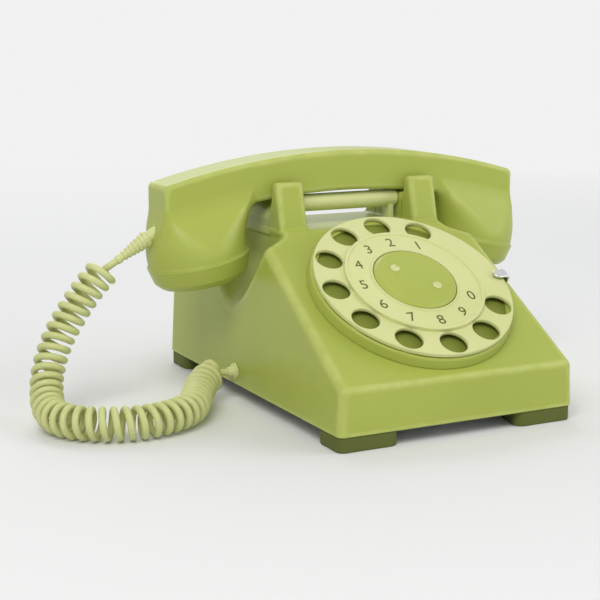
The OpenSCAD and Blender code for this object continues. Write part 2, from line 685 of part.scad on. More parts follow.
main_z = -14;
inter_z = -24;
inter_dir = 200;                         // direction of the intermediate shaft from the main one
gov_dir = 103;                           // direction of the governor from the intermediate shaft
inter_dist = gear_m * (main_teeth + pinion_teeth) / 2;
gov_dist = gear_m * (inter_teeth + gov_teeth) / 2;
inter_pos = inter_dist * [cos(inter_dir), sin(inter_dir)];
gov_pos = inter_pos + gov_dist * [cos(gov_dir), sin(gov_dir)];
train_low = bearing_z - 2;

module main_shaft() color(steel) on_dial() {
    translate([0, 0, train_low - 1]) cylinder(r = shaft_r, h = wheel_top - train_low + 1);
}

module main_gear() color(brass) on_dial(main_z) difference() {
    linear_extrude(gear_t) polygon(gear_outline(main_teeth, inter_dir));
    translate([0, 0, -1]) cylinder(r = shaft_r, h = gear_t + 2);
    for (i = [0:4]) rotate(72 * i) translate([13, 0, -1]) cylinder(r = 4, h = gear_t + 2);
}

module main_spring() color(steel) on_dial(bearing_z + 0.6) {
    turns = 4;
    step = 2.2;
    start_r = shaft_r + 0.5;
    n = turns * 24;
    linear_extrude(6) polygon(concat(
        [for (i = [0:n]) let (r = start_r + step * i / 24, a = 15 * i) r * [cos(a), sin(a)]],
        [for (i = [n:-1:0]) let (r = start_r + 0.6 + step * i / 24, a = 15 * i) r * [cos(a), sin(a)]]));
    end_r = start_r + step * turns;
    translate([end_r + 0.2, -1.5, -0.6]) cube([2.8, 3, 6.6]);
}

module intermediate_shaft() color(steel) on_dial() translate([inter_pos.x, inter_pos.y, train_low - 1])
    cylinder(r = 1.5, h = frame_z + 1 - train_low + 1);

module intermediate_gear() color(brass) on_dial() translate([inter_pos.x, inter_pos.y, 0]) difference() {
    union() {
        translate([0, 0, inter_z]) linear_extrude(gear_t)
            polygon(gear_outline(inter_teeth, gov_dir));
        translate([0, 0, inter_z + gear_t - eps]) cylinder(r = 3.6, h = main_z - 1 - inter_z - gear_t + eps);
        translate([0, 0, main_z - 1 - eps]) linear_extrude(gear_t + 2 + eps)
            polygon(gear_outline(pinion_teeth, inter_dir + 180 + 180 / pinion_teeth));
    }
    translate([0, 0, inter_z - 1]) cylinder(r = 1.5, h = 30);
}

module pulse_cam() color(black) on_dial(inter_z - 4) translate([inter_pos.x, inter_pos.y, 0])
    difference() {
        linear_extrude(4) polygon([for (i = [0:35]) let (a = 10 * i)
            (5 + 1.6 * pow(cos(a), 2)) * [cos(a), sin(a)]]);
        translate([0, 0, -1]) cylinder(r = 1.5, h = 6);
    }

module pulse_contacts() color(brass) on_dial(bearing_z) rotate(inter_dir)
    translate([inter_dist, 0, 0]) {
        translate([-3, 8.5, 0]) cube([10, 6, 9]);
        for (i = [0, 1]) translate([-3, 7.4 + 2.2 * i, 9]) cube([14, 0.6, 4]);
    }

module governor_shaft() color(steel) on_dial() translate([gov_pos.x, gov_pos.y, 0]) {
    translate([0, 0, train_low - 1]) cylinder(r = 1.5, h = frame_z + 1 - train_low + 1);
    translate([0, 0, inter_z - 0.5]) difference() {
        linear_extrude(gear_t + 1) polygon(gear_outline(gov_teeth, gov_dir + 180 + 180 / gov_teeth));
        translate([0, 0, -1]) cylinder(r = 1.4, h = 6);
    }
}

gov_cup_z = inter_z + gear_t + 2;
module governor_weights() color(brass) on_dial(gov_cup_z + 1) translate([gov_pos.x, gov_pos.y, 0])
    difference() {
        union() {
            cylinder(r = 3.4, h = 4);
            for (s = [0, 180]) rotate(s) intersection() {
                tube(7.6, 4.6, 4);
                translate([-1, -8, -1]) cube([9, 16, 6]);
            }
            translate([-7, -0.8, 0]) cube([14, 1.6, 4]);
        }
        translate([0, 0, -1]) cylinder(r = 1.5, h = 6);
    }

module governor_cup() color(steel) on_dial(gov_cup_z + 0.6) translate([gov_pos.x, gov_pos.y, 0])
    difference() {
        union() {
            tube(9.2, 8.2, frame_z - gov_cup_z - 0.6);
            translate([0, 0, frame_z - gov_cup_z - 1.6]) cylinder(r = 9.2, h = 1);
        }
        translate([0, 0, -1]) cylinder(r = 2, h = 30);
    }

// ---------- cord outlets ----------
boot_l = 24.7;
boot_drop = 31.8;                        // slope of the boot in degrees
boot_root = [-handset_l / 2 + 1, handset_y, 95];
boot_tip = boot_root - (boot_l + eps) * [cos(boot_drop), 0, sin(boot_drop)];
cord_route = [
    boot_tip, [-140.2, handset_y, 79.4], [-145, handset_y, 76], [-153, handset_y, 67.5],
    [-162, 22, 55.5], [-171, 20, 42], [-178, 15, 28], [-182, 6, 17], [-184, -6, 11], [-182, -20, 9.6],
    [-174, -32, 9.6], [-161, -40, 9.6], [-145, -43, 9.6], [-129, -39, 9.6], [-116, -30, 9.6],
    [-108, -18, 9.8], [-101, -6, 10.8], [-95, 3, 12.6], [-89, 9, 14.4], [-82.5, 11.8, gland_z],
    [-76, gland_y, gland_z]
];
route_end = len(cord_route) - 1;
gland_x = -half_w(gland_z);
gland_tip = gland_x - cord_route[route_end].x;

module cord_gland() color(ivory) translate([gland_x, gland_y, gland_z]) rotate([0, 90, 0])
    rotate_extrude() polygon([
        [0, -gland_tip], [2.8, -gland_tip], [3.4, -1.6], [4.8, -1.6], [4.8, -0.3], [3.5, -0.3],
        [3.5, wall + 0.3], [4.8, wall + 0.3], [4.8, wall + 1.8], [0, wall + 1.8]]);

module line_inlet() color(black) translate([inlet_x, body_d / 2, inlet_z]) rotate([90, 0, 0])
    difference() {
        union() {
            cylinder(r = inlet_r, h = wall);
            translate([0, 0, wall]) cylinder(r = inlet_r + 1.5, h = 1.6);
        }
        translate([0, 0, -1]) cylinder(r = 2.6, h = 10);
    }

// Ribbed sleeve that leads the cord out of the handset
module handset_cord_boot() color(ivory) translate(boot_root) rotate([0, -90 - boot_drop, 0])
    rotate_extrude() polygon(concat(
        [[0, -6], [3.4, -6], [3.4, 4.2]],
        [for (i = [0:4]) each let (z = 4.2 + (boot_l - 6.2) * i / 5, r = 4.8 - 0.42 * i,
            g = (boot_l - 6.2) / 10) [[r, z], [r, z + g], [r - 1, z + g + 0.3], [r - 1, z + 2 * g - 0.3]]],
        [[2.4, boot_l - 1.6], [2.2, boot_l], [0, boot_l]]));

// ---------- curly cord ----------
samples = 10;                            // smooth points between two route points
curve = concat([for (i = [0:len(cord_route) - 2], k = [0:samples - 1])
    let (n = len(cord_route) - 1, t = k / samples, a = cord_route[max(i - 1, 0)], b = cord_route[i],
         c = cord_route[i + 1], d = cord_route[min(i + 2, n)])
    b + 0.5 * t * ((c - a) + t * ((2 * a - 5 * b + 4 * c - d) + t * (3 * (b - c) + d - a)))],
    [cord_route[len(cord_route) - 1]]);
run = [for (i = 0, s = 0; i < len(curve); i = i + 1,
    s = i < len(curve) ? s + norm(curve[i] - curve[i - 1]) : s) s];
route_l = run[len(run) - 1];
curve_t = tangents(curve);
curve_n = normals(curve_t, [0, 1, 0]);
function pick(list, axis, s) = lookup(s, [for (i = [0:len(run) - 1]) [run[i], list[i][axis]]]);
function at_run(list, s) = [pick(list, 0, s), pick(list, 1, s), pick(list, 2, s)];

lead = cord_d + 1.5;                     // straight end at each outlet
curl_r = (curl_d - cord_d) / 2;
curls = floor((route_l - 2 * lead) / curl_pitch);
per_curl = 8;
coil_l = curls * curl_pitch;
coil_start = (route_l - coil_l) / 2;

// Points of the cord's middle line: [place along the route, turn, share of the curl radius]
stations = concat(
    [[0, 0, 0], [coil_start * 0.7, 0, 0]],
    [for (i = [0:curls * per_curl]) let (u = i / per_curl, e = min(u, curls - u, 1))
        [coil_start + u * curl_pitch, 360 * u, e * e * (3 - 2 * e)]],
    [[route_l - coil_start * 0.7, 360 * curls, 0], [route_l, 360 * curls, 0]]);
cord_up = [for (q = stations) let (t = unit(at_run(curve_t, q[0])), a = at_run(curve_n, q[0]),
    n = unit(a - (a * t) * t)) cos(q[1]) * n + sin(q[1]) * cross(t, n)];
cord_points = [for (i = [0:len(stations) - 1])
    at_run(curve, stations[i][0]) + curl_r * stations[i][2] * cord_up[i]];
cord_length = [for (i = 1, s = 0; i <= len(cord_points); s = i < len(cord_points) ?
    s + norm(cord_points[i] - cord_points[i - 1]) : s, i = i + 1) s];

module handset_cord() color(ivory) wire(cord_points, cord_up, cord_d / 2);

// ---------- handset ----------
cavity_r = capsule_r + 2.4;
cavity_h = 10;                           // room for the capsule and its contacts
throat_r = 12;                           // room for the wires above them
throat_h = 24;
slice_in = cup_x - cup_r - 2;            // where the cups grow out of the grip
slice_out = handset_l / 2 - 3.5;
arch_steps = 24;

// Front outline of the arched grip, with a curve of radius 12 into each cup
module grip_outline() {
    r = 12;
    in_x = slice_in + 1;
    turn_x = in_x - r;
    turn_z = grip_under(turn_x) - r;
    polygon(concat(
        [for (i = [0:arch_steps]) let (x = slice_out * (2 * i / arch_steps - 1)) [x, grip_top(x)]],
        [[slice_out, grip_top(slice_out) - 12], [in_x + 6, turn_z - 4], [in_x, turn_z - 4]],
        [for (i = [0:6]) let (a = 15 * i) [turn_x + r * cos(a), turn_z + r * sin(a)]],
        [for (i = [1:11]) let (x = turn_x * (1 - i / 6)) [x, grip_under(x)]],
        [for (i = [6:-1:0]) let (a = 15 * i) [-turn_x - r * cos(a), turn_z + r * sin(a)]],
        [[-in_x, turn_z - 4], [-in_x - 6, turn_z - 4], [-slice_out, grip_top(slice_out) - 12]]));
}

// Cup: from the round joint up to the end of the arched grip
module cup_form(s) hull() {
    at_cup(s) cylinder(r = cup_r, h = 2.5, $fn = 48);
    along_y(handset_y - grip_w / 2, handset_y + grip_w / 2) polygon(concat(
        [for (i = [0:6]) let (x = slice_in + (slice_out - slice_in) * i / 6) [s * x, grip_top(x)]],
        [for (i = [6:-1:0]) let (x = slice_in + (slice_out - slice_in) * i / 6) [s * x, grip_top(x) - 12]]));
}

module handset_grip() color(lime) difference() {
    union() {
        along_y(handset_y - grip_w / 2, handset_y + grip_w / 2) grip_outline();
        cup_form(-1);
        cup_form(1);
    }
    for (s = [-1, 1]) at_cup(s) {
        translate([0, 0, -1]) cylinder(r = cavity_r, h = cavity_h + 1);
        cylinder(r = throat_r, h = throat_h);
    }
    translate(boot_root) rotate([0, -90 - boot_drop, 0]) translate([0, 0, -20]) cylinder(r = 3.4, h = 40);
}

// Shell of a cap: a skirt that enters the cup and a face with a rounded rim
module cap_shell() rotate_extrude() polygon(rounded([
    [0, -cap_h, 0], [cup_r - 5, -cap_h, 3], [cup_r - 1.5, -cap_h + 3.5, 2.5], [cup_r + 0.8, -1.2, 0.6],
    [cup_r + 0.8, 0, 0], [cavity_r - 0.2, 0, 0], [cavity_r - 0.2, 6, 0], [cavity_r - 2, 6, 0],
    [cavity_r - 2, -cap_h + 5, 1], [cavity_r - 4, -cap_h + 2.4, 1], [0, -cap_h + 2.4, 0]]));

module cap_holes(rings, r) for (k = [0:rings - 1], i = [0:max(6 * k - 1, 0)])
    rotate(60 * i / max(k, 1)) translate([4.2 * k, 0, -cap_h - 1]) cylinder(r = r, h = 5, $fn = 16);

module transmitter_cap() color(lime) at_cup(-1) difference() {
    cap_shell();
    cap_holes(4, 1.1);
}

module receiver_cap() color(lime) at_cup(1) difference() {
    cap_shell();
    cap_holes(2, 1.4);
}

module capsule() {
    translate([0, 0, -cap_h + 2.4]) cylinder(r = capsule_r - 3.5, h = 3);
    translate([0, 0, -cap_h + 5.4]) cylinder(r = capsule_r, h = 8);
    translate([0, 0, -cap_h + 13.4]) cylinder(r = capsule_r - 6, h = 6);
}

module transmitter_capsule() color(steel) at_cup(-1) capsule();
module receiver_capsule() color(steel) at_cup(1) capsule();

module transmitter_contacts() color(black) at_cup(-1) {
    translate([0, 0, 19.4 - cap_h]) cylinder(r = cavity_r - 0.3, h = 2);
    for (s = [-1, 1]) translate([s * 9 - 2, -3, 21.4 - cap_h]) cube([4, 6, 4]);
}

module receiver_spacer() color(black) at_cup(1)
    translate([0, 0, 19.4 - cap_h]) tube(cavity_r - 0.3, cavity_r - 8, cavity_h - 19.4 + cap_h);

union() {  // handset_cord
    echo("curls", curls);
    echo("cord length in mm", cord_length[len(cord_length) - 1]);
    echo("least gap between curls in mm", wire_gap(cord_points, per_curl, cord_d));
}
feet();
foot_screws();
base_plate();
housing();
shoulder_left();
shoulder_right();
cradle();
housing_screws();
network_block();
network_terminals();
ringer_frame();
ringer_coil();
gong_left();
gong_right();
gong_screws();
clapper_pin();
clapper();
hook_bracket();
hook_pin();
hook_lever();
hook_spring();
hook_contacts();
hook_bar();
dial_bracket();
dial_frame();
dial_surround();
dial_screws();
dial_plate();
finger_stop();
finger_wheel();
number_ring();
centre_cap();
cap_screws();
main_shaft();
main_gear();
main_spring();
intermediate_shaft();
intermediate_gear();
pulse_cam();
pulse_contacts();
governor_shaft();
governor_weights();
governor_cup();
line_inlet();
cord_gland();
handset_cord();
handset_cord_boot();
handset_grip();
transmitter_cap();
transmitter_capsule();
transmitter_contacts();
receiver_cap();
receiver_capsule();
receiver_spacer();
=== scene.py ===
# Looks for a rotary desk telephone: moulded housing, dial, handset, curly cord and the works inside.
# Sizes in the dictionaries are millimetres in the telephone's own frame: x along the handset, z up.
import functools
import json
import math
import bmesh
import bpy
import numpy as np
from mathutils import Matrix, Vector


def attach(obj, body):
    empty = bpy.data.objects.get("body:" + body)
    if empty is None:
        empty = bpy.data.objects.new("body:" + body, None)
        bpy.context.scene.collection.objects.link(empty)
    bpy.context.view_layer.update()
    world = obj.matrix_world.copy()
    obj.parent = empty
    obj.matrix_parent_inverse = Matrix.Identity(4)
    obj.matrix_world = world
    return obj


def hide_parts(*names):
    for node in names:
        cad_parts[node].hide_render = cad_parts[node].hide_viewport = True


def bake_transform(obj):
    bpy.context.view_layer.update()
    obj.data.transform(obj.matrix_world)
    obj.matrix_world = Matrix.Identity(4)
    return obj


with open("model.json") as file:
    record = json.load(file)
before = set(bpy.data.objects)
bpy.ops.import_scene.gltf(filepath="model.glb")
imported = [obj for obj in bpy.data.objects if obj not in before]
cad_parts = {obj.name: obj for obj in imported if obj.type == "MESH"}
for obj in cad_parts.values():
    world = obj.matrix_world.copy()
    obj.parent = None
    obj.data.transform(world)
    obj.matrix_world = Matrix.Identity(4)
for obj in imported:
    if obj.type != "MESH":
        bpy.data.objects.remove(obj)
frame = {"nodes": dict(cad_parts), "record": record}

mm = 0.001
fullTurn = 2 * math.pi
nodes = frame["nodes"]
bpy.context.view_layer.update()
scene = bpy.context.scene
print("stage: packed model loaded,", len(nodes), "nodes")

# camera, placed in metres
view = {"at": (-0.383, -0.683, 0.2015), "towards": (0.44499, 0.87575, -0.18721), "lens": 83.15, "sensor": 36}
cameraData = bpy.data.cameras.new("camera")
cameraData.lens = view["lens"]
cameraData.sensor_width = view["sensor"]
cameraObject = bpy.data.objects.new("camera", cameraData)
cameraObject.location = view["at"]
cameraObject.rotation_euler = Vector(view["towards"]).to_track_quat("-Z", "Y").to_euler()
scene.collection.objects.link(cameraObject)
scene.camera = cameraObject

# sizes that several pieces share
body = {"width": 142, "depth": 222, "footZ": 8, "skirtZ": 32, "crownZ": 96, "panelDepth": 102,
        "crownHalf": 31, "rearZ": 46, "lowZ": -60, "draft": math.radians(3), "wall": 2.6, "edge": 4}
handset = {"length": 232, "gripWidth": 28, "under": 115, "thick": 23, "drop": 17, "edge": 2.6,
           "cupR": 28, "cupZ": 80.5, "tilt": math.radians(11)}
cradle = {"cupGap": 9.5, "long": 17, "seatGap": 0.3, "slotIn": 4.5, "barForward": 7}
dial = {"up": 2, "r": 57, "ringHigh": 6.4, "wheelR": 55.5, "wheelThick": 2.6, "wheelGap": 0.5,
        "holeCircle": 46.8, "fingerR": 7.5, "firstHole": 60, "holeStep": 30, "holeCount": 10,
        "numberR": 39, "numberThick": 1.2, "capR": 23}

# places that follow from them
frontY = -body["depth"] / 2
panelTopY = frontY + body["panelDepth"]
handsetY = panelTopY + body["crownHalf"]
dialTilt = math.atan2(body["crownZ"] - body["skirtZ"], body["panelDepth"])
dialAt = np.array([0, frontY + body["panelDepth"] / 2 + dial["up"] * math.cos(dialTilt),
                   (body["skirtZ"] + body["crownZ"]) / 2 + dial["up"] * math.sin(dialTilt)])
wheelLow = dial["ringHigh"] + dial["wheelGap"]
wheelTop = wheelLow + dial["wheelThick"]
archRate = handset["drop"] / (handset["length"] / 2) ** 2
cupX = handset["length"] / 2 - handset["cupR"] * math.cos(handset["tilt"])
cradleHalf = cupX - handset["cupR"] - cradle["cupGap"]
saddleIn = cradleHalf - cradle["long"]
slotX = saddleIn - cradle["slotIn"]
barY = handsetY - cradle["barForward"]


def onDial(p):
    # x stays, the second number runs up the panel and the third stands out of it
    c, s = math.cos(dialTilt), math.sin(dialTilt)
    return np.stack([p[:, 0], dialAt[1] + p[:, 1] * c - p[:, 2] * s,
                     dialAt[2] + p[:, 1] * s + p[:, 2] * c], 1)


def dialPlace(x=0, y=0, up=0, turn=0):
    # turns a shape about the dial's axis, then moves it along the panel and out of it
    c, s = math.cos(turn), math.sin(turn)
    return lambda p: onDial(np.stack([p[:, 0] * c - p[:, 1] * s + x, p[:, 0] * s + p[:, 1] * c + y,
                                      p[:, 2] + up], 1))


def atCup(side):
    # turns a shape by the cup's lean and sets it on the cup's joint
    c, s = math.cos(side * handset["tilt"]), math.sin(side * handset["tilt"])
    return lambda p: np.stack([side * cupX + p[:, 0] * c + p[:, 2] * s, handsetY + p[:, 1],
                               handset["cupZ"] - p[:, 0] * s + p[:, 2] * c], 1)


def alongAxis(origin, axis, up=(0, 1, 0)):
    # carries a shape's third number along an axis from an origin
    a = np.array(axis, float) / np.linalg.norm(axis)
    u = np.cross(up, a)
    u = u / np.linalg.norm(u)
    v = np.cross(a, u)
    return lambda p: np.array(origin) + p[:, :1] * u + p[:, 1:2] * v + p[:, 2:] * a


def smoothShaded(mesh, sharp):
    # smooth faces, with the edges that turn by more than an angle kept sharp
    mesh.polygons.foreach_set("use_smooth", np.ones(len(mesh.polygons), bool))
    mesh.set_sharp_from_angle(angle=math.radians(sharp))
    return mesh


def makeMesh(name, points, faces, normals=None, sharp=38):
    # points in millimetres, faces as arrays of corner numbers; a closed shape is turned outwards
    points = np.asarray(points, float)
    triangles = np.concatenate([f[:, [0, i, i + 1]] for f in faces for i in range(1, f.shape[1] - 1)])
    a, b, c = (points[triangles[:, i]] for i in range(3))
    if np.einsum("ij,ij->i", a, np.cross(b, c)).sum() < 0:
        faces = [f[:, ::-1] for f in faces]
    mesh = bpy.data.meshes.new(name)
    mesh.from_pydata((points * mm).tolist(), [], [face for group in faces for face in group.tolist()])
    if normals is None:
        return smoothShaded(mesh, sharp)
    mesh.polygons.foreach_set("use_smooth", np.ones(len(mesh.polygons), bool))
    mesh.normals_split_custom_set_from_vertices(normals)
    return mesh


def placedMesh(name, raw, place, lift=0, sharp=38):
    # puts a mesh in its place, merges its doubles and turns its faces outwards
    co = np.empty(len(raw.vertices) * 3, np.float32)
    raw.vertices.foreach_get("co", co)
    co = co.reshape(-1, 3).astype(float)
    co[:, 2] += lift
    raw.vertices.foreach_set("co", (place(co) * mm).astype(np.float32).ravel())
    work = bmesh.new()
    work.from_mesh(raw)
    bmesh.ops.remove_doubles(work, verts=work.verts, dist=1e-4 * mm)
    bmesh.ops.recalc_face_normals(work, faces=work.faces)
    work.to_mesh(raw)
    work.free()
    raw.name = name
    return smoothShaded(raw, sharp)


def joinMeshes(name, meshes, sharp=38):
    work = bmesh.new()
    for mesh in meshes:
        work.from_mesh(mesh)
        bpy.data.meshes.remove(mesh)
    joined = bpy.data.meshes.new(name)
    work.to_mesh(joined)
    work.free()
    return smoothShaded(joined, sharp)


def addPiece(name, mesh, rides, replaced, slot, material=None, weighted=True):
    piece = bpy.data.objects.new(name, mesh)
    scene.collection.objects.link(piece)
    mesh.materials.clear()
    mesh.materials.append(material or finish[slot])
    if weighted:
        piece.modifiers.new("shade", "WEIGHTED_NORMAL").keep_sharp = True
    if rides:
        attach(piece, rides)
    if replaced:
        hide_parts(*replaced)
    return piece


def gridFaces(rows, cols, ringRows=False, ringCols=False):
    # quads of a grid whose rows or columns may close into rings
    i = np.arange(rows if ringRows else rows - 1)[:, None]
    j = np.arange(cols if ringCols else cols - 1)[None, :]
    a, b = i * cols + j, i * cols + (j + 1) % cols
    d, c = (i + 1) % rows * cols + j, (i + 1) % rows * cols + (j + 1) % cols
    return np.stack([a, b, c, d], -1).reshape(-1, 4)


def ringsMesh(name, rings, ends, place=lambda p: p, sharp=38):
    # rings of points joined by quads, and closed by a fan of triangles to a point at each end
    rows, cols = rings.shape[:2]
    j = np.arange(cols)
    k = (j + 1) % cols
    hub, last = np.full(cols, rows * cols), (rows - 1) * cols
    return makeMesh(name, place(np.concatenate([rings.reshape(-1, 3), ends])),
                    [gridFaces(rows, cols, ringCols=True), np.stack([hub, k, j], 1),
                     np.stack([hub + 1, last + j, last + k], 1)], sharp=sharp)


def latheMesh(name, profile, place, steps=96, sharp=38):
    # a profile of (radius, height) turned about its axis: x = r cos a, y = r sin a
    # a profile that starts and ends on the axis is closed by poles, and any other closes on itself
    profile = np.asarray(profile, float)
    poles = profile[0, 0] < 1e-6
    ring = profile[1:-1] if poles else profile
    angle = np.arange(steps) * fullTurn / steps
    rings = np.stack([ring[:, :1] * np.cos(angle), ring[:, :1] * np.sin(angle),
                      np.broadcast_to(ring[:, 1:], (len(ring), steps))], -1)
    if poles:
        return ringsMesh(name, rings, [[0, 0, profile[0, 1]], [0, 0, profile[-1, 1]]], place, sharp)
    return makeMesh(name, place(rings.reshape(-1, 3)), [gridFaces(len(ring), steps, True, True)], sharp=sharp)


def roundedOutline(corners, steps=6):
    # outline through corners [x, y, radius], each with an arc that touches both of its sides
    corners = [np.array(c, float) for c in corners]
    out = []
    for i, c in enumerate(corners):
        before, after = corners[i - 1][:2], corners[(i + 1) % len(corners)][:2]
        b, r = c[:2], c[2]
        if r <= 0:
            out.append(b[None])
            continue
        u, v = before - b, after - b
        u, v = u / np.linalg.norm(u), v / np.linalg.norm(v)
        half = math.acos(np.clip(u @ v, -1, 1)) / 2
        centre = b + (u + v) / np.linalg.norm(u + v) * r / math.sin(half)
        p, q = b + u * r / math.tan(half) - centre, b + v * r / math.tan(half) - centre
        start = math.atan2(p[1], p[0])
        turn = (math.atan2(q[1], q[0]) - start + math.pi) % fullTurn - math.pi
        angle = start + turn * np.linspace(0, 1, steps + 1)
        out.append(centre + r * np.stack([np.cos(angle), np.sin(angle)], 1))
    return np.concatenate(out)


def circleOutline(x, y, r, steps=48):
    angle = np.arange(steps) * fullTurn / steps
    return np.stack([x + r * np.cos(angle), y + r * np.sin(angle)], 1)


def meshFromCurve(name, curve):
    holder = bpy.data.objects.new(name, curve)
    scene.collection.objects.link(holder)
    bpy.context.view_layer.update()
    raw = bpy.data.meshes.new_from_object(holder.evaluated_get(bpy.context.evaluated_depsgraph_get()))
    bpy.data.objects.remove(holder)
    bpy.data.curves.remove(curve)
    return raw


def plateMesh(name, outlines, low, high, bevel, place, segments=3):
    # flat shape with holes, filled between its outlines, with rounded edges inside its true outline
    curve = bpy.data.curves.new(name, "CURVE")
    curve.dimensions = "2D"
    curve.fill_mode = "BOTH"
    curve.extrude = (high - low) / 2 - bevel
    curve.bevel_depth = bevel
    curve.bevel_resolution = segments
    curve.offset = -bevel
    for outline in outlines:
        spline = curve.splines.new("POLY")
        spline.points.add(len(outline) - 1)
        flat = np.zeros((len(outline), 4))
        flat[:, :2] = outline
        flat[:, 3] = 1
        spline.points.foreach_set("co", flat.ravel())
        spline.use_cyclic_u = True
    return placedMesh(name, meshFromCurve(name, curve), place, lift=(high + low) / 2)


def textMesh(name, text, size, thick, place):
    # one numeral, centred on its own box
    font = bpy.data.curves.new(name, "FONT")
    font.body = text
    font.size = size
    font.extrude = thick / 2
    font.resolution_u = 4
    raw = meshFromCurve(name, font)
    co = np.empty(len(raw.vertices) * 3, np.float32)
    raw.vertices.foreach_get("co", co)
    co = co.reshape(-1, 3)
    co -= (co.max(0) + co.min(0)) / 2
    raw.vertices.foreach_set("co", co.ravel())
    return placedMesh(name, raw, place, sharp=30)


# distance fields, for the two mouldings whose faces all blend into each other
def roundedAnd(*parts, r):
    # inside every part, with the outer edges rounded to r: length of the positive parts beyond r
    parts = [p + r for p in parts]
    outside = sum(np.maximum(p, 0) ** 2 for p in parts) ** 0.5
    return outside + np.minimum(functools.reduce(np.maximum, parts), 0) - r


def roundedOr(a, b, r):
    # either part, with an inner fillet of radius r, and the plain depth below both
    nearer = np.minimum(a, b)
    fillet = np.hypot(np.clip(r - a, 0, r), np.clip(r - b, 0, r))
    return np.maximum(r, nearer) - fillet + np.minimum(nearer, 0)


def without(a, b, r):
    # a less b, with the edge between them rounded to r
    return -roundedOr(-a, b, r)


def roundBar(across, along, r, half):
    # a cylinder of radius r that reaches half its length each way
    return np.maximum(across - r, np.abs(along) - half)


def outlineDistance(outline, x, y, r):
    # distance to a convex outline with corners of radius r, negative inside it: each corner is moved
    # in until it is r from both of its sides, and r is taken off the distance to the nearest side
    p = np.asarray(outline, float)
    u, v = np.roll(p, 1, 0) - p, np.roll(p, -1, 0) - p
    u /= np.linalg.norm(u, axis=1)[:, None]
    v /= np.linalg.norm(v, axis=1)[:, None]
    half = np.arccos(np.clip((u * v).sum(1), -1, 1)) / 2
    p = p + (u + v) / np.linalg.norm(u + v, axis=1)[:, None] * (r / np.sin(half))[:, None]
    nearest, inside = np.inf, -np.inf
    turn = np.sign(sum(a[0] * b[1] - a[1] * b[0] for a, b in zip(p, np.roll(p, -1, 0))))
    for a, b in zip(p, np.roll(p, -1, 0)):
        ex, ey = b - a
        px, py = x - a[0], y - a[1]
        t = np.clip((px * ex + py * ey) / (ex * ex + ey * ey), 0, 1)
        nearest = np.minimum(nearest, np.hypot(px - t * ex, py - t * ey))
        inside = np.maximum(inside, turn * (px * ey - py * ex) / math.hypot(ex, ey))
    return np.where(inside < 0, inside, nearest) - r


def stepAxis(*spans):
    # grid lines in spans of (from, to, step)
    return np.unique(np.concatenate([np.linspace(a, b, max(2, round((b - a) / s) + 1))
                                     for a, b, s in spans]).round(6))


settle = {"passes": 3, "nearStep": 0.02, "furthest": 0.8, "leastSlope": 0.2, "normalStep": 0.05,
          "bendStep": 0.9, "bendPasses": 3, "bendGain": 2}


def fieldMesh(name, field, axes):
    # one point in each grid cell that the zero surface crosses, a quad round each crossed grid line,
    # and the points then slid down the field's slope onto the surface; the slope is the normal
    xs, ys, zs = axes
    value = field(xs[:, None, None], ys[None, :, None], zs[None, None, :])
    inside = value < 0
    count = np.zeros([n - 1 for n in inside.shape], np.int8)
    offsets = np.array([[i, j, k] for i in (0, 1) for j in (0, 1) for k in (0, 1)])
    for i, j, k in offsets:
        count += inside[i:i + count.shape[0], j:j + count.shape[1], k:k + count.shape[2]]
    crossed = (count > 0) & (count < 8)
    cells = np.argwhere(crossed)
    number = np.full(crossed.shape, -1, np.int32)
    number[crossed] = np.arange(len(cells))
    corner = cells[:, None, :] + offsets
    at = np.stack([xs[corner[..., 0]], ys[corner[..., 1]], zs[corner[..., 2]]], -1)
    held = value[corner[..., 0], corner[..., 1], corner[..., 2]]
    pairs = np.array([(a, b) for a in range(8) for b in range(a + 1, 8)
                      if np.abs(offsets[a] - offsets[b]).sum() == 1])
    va, vb = held[:, pairs[:, 0]], held[:, pairs[:, 1]]
    cut = (va < 0) != (vb < 0)
    share = np.where(cut, va / np.where(cut, va - vb, 1), 0)[..., None]
    crossing = at[:, pairs[:, 0]] * (1 - share) + at[:, pairs[:, 1]] * share
    points = (crossing * cut[..., None]).sum(1) / cut.sum(1)[:, None]

    quads = []
    unit = np.eye(3, dtype=int)
    for k in range(3):
        u, w = unit[(k + 1) % 3], unit[(k + 2) % 3]
        near, far = [slice(1, -1)] * 3, [slice(1, -1)] * 3
        near[k], far[k] = slice(0, -1), slice(1, None)
        first = inside[tuple(near)]
        edge = np.argwhere(first != inside[tuple(far)])
        grow = first[tuple(edge.T)]
        edge = edge + u + w
        quad = np.stack([number[tuple(c.T)] for c in (edge - u - w, edge - w, edge, edge - u)], 1)
        quads.append(np.where(grow[:, None], quad, quad[:, ::-1]))
    quads = np.concatenate(quads)

    def slope(p, h):
        # central differences, and the sum of bends that tells a ridge from a hollow
        mid = field(*p.T)
        sides = [(field(*(p + h * e).T), field(*(p - h * e).T)) for e in np.eye(3)]
        return mid, np.stack([(a - b) / (2 * h) for a, b in sides], 1), \
            sum(a + b - 2 * mid for a, b in sides) / h ** 2

    for _ in range(settle["passes"]):
        mid, grade, _bend = slope(points, settle["nearStep"])
        slide = np.clip(mid, -settle["furthest"], settle["furthest"])
        points -= (slide / np.maximum((grade ** 2).sum(1), settle["leastSlope"]))[:, None] * grade
    _mid, grade, _bend = slope(points, settle["normalStep"])
    _mid, _grade, bend = slope(points, settle["bendStep"])
    corners = quads.ravel()
    for _ in range(settle["bendPasses"]):
        around = np.bincount(corners, np.repeat(bend[quads].mean(1), 4), len(points))
        bend = around / np.bincount(corners, minlength=len(points))
    mesh = makeMesh(name, points, [quads], grade / np.maximum(np.linalg.norm(grade, axis=1), 1e-9)[:, None])
    edge = mesh.attributes.new("edge", "FLOAT", "POINT")
    edge.data.foreach_set("value", np.clip(bend * settle["bendGain"], -1, 1).astype(np.float32))
    return mesh


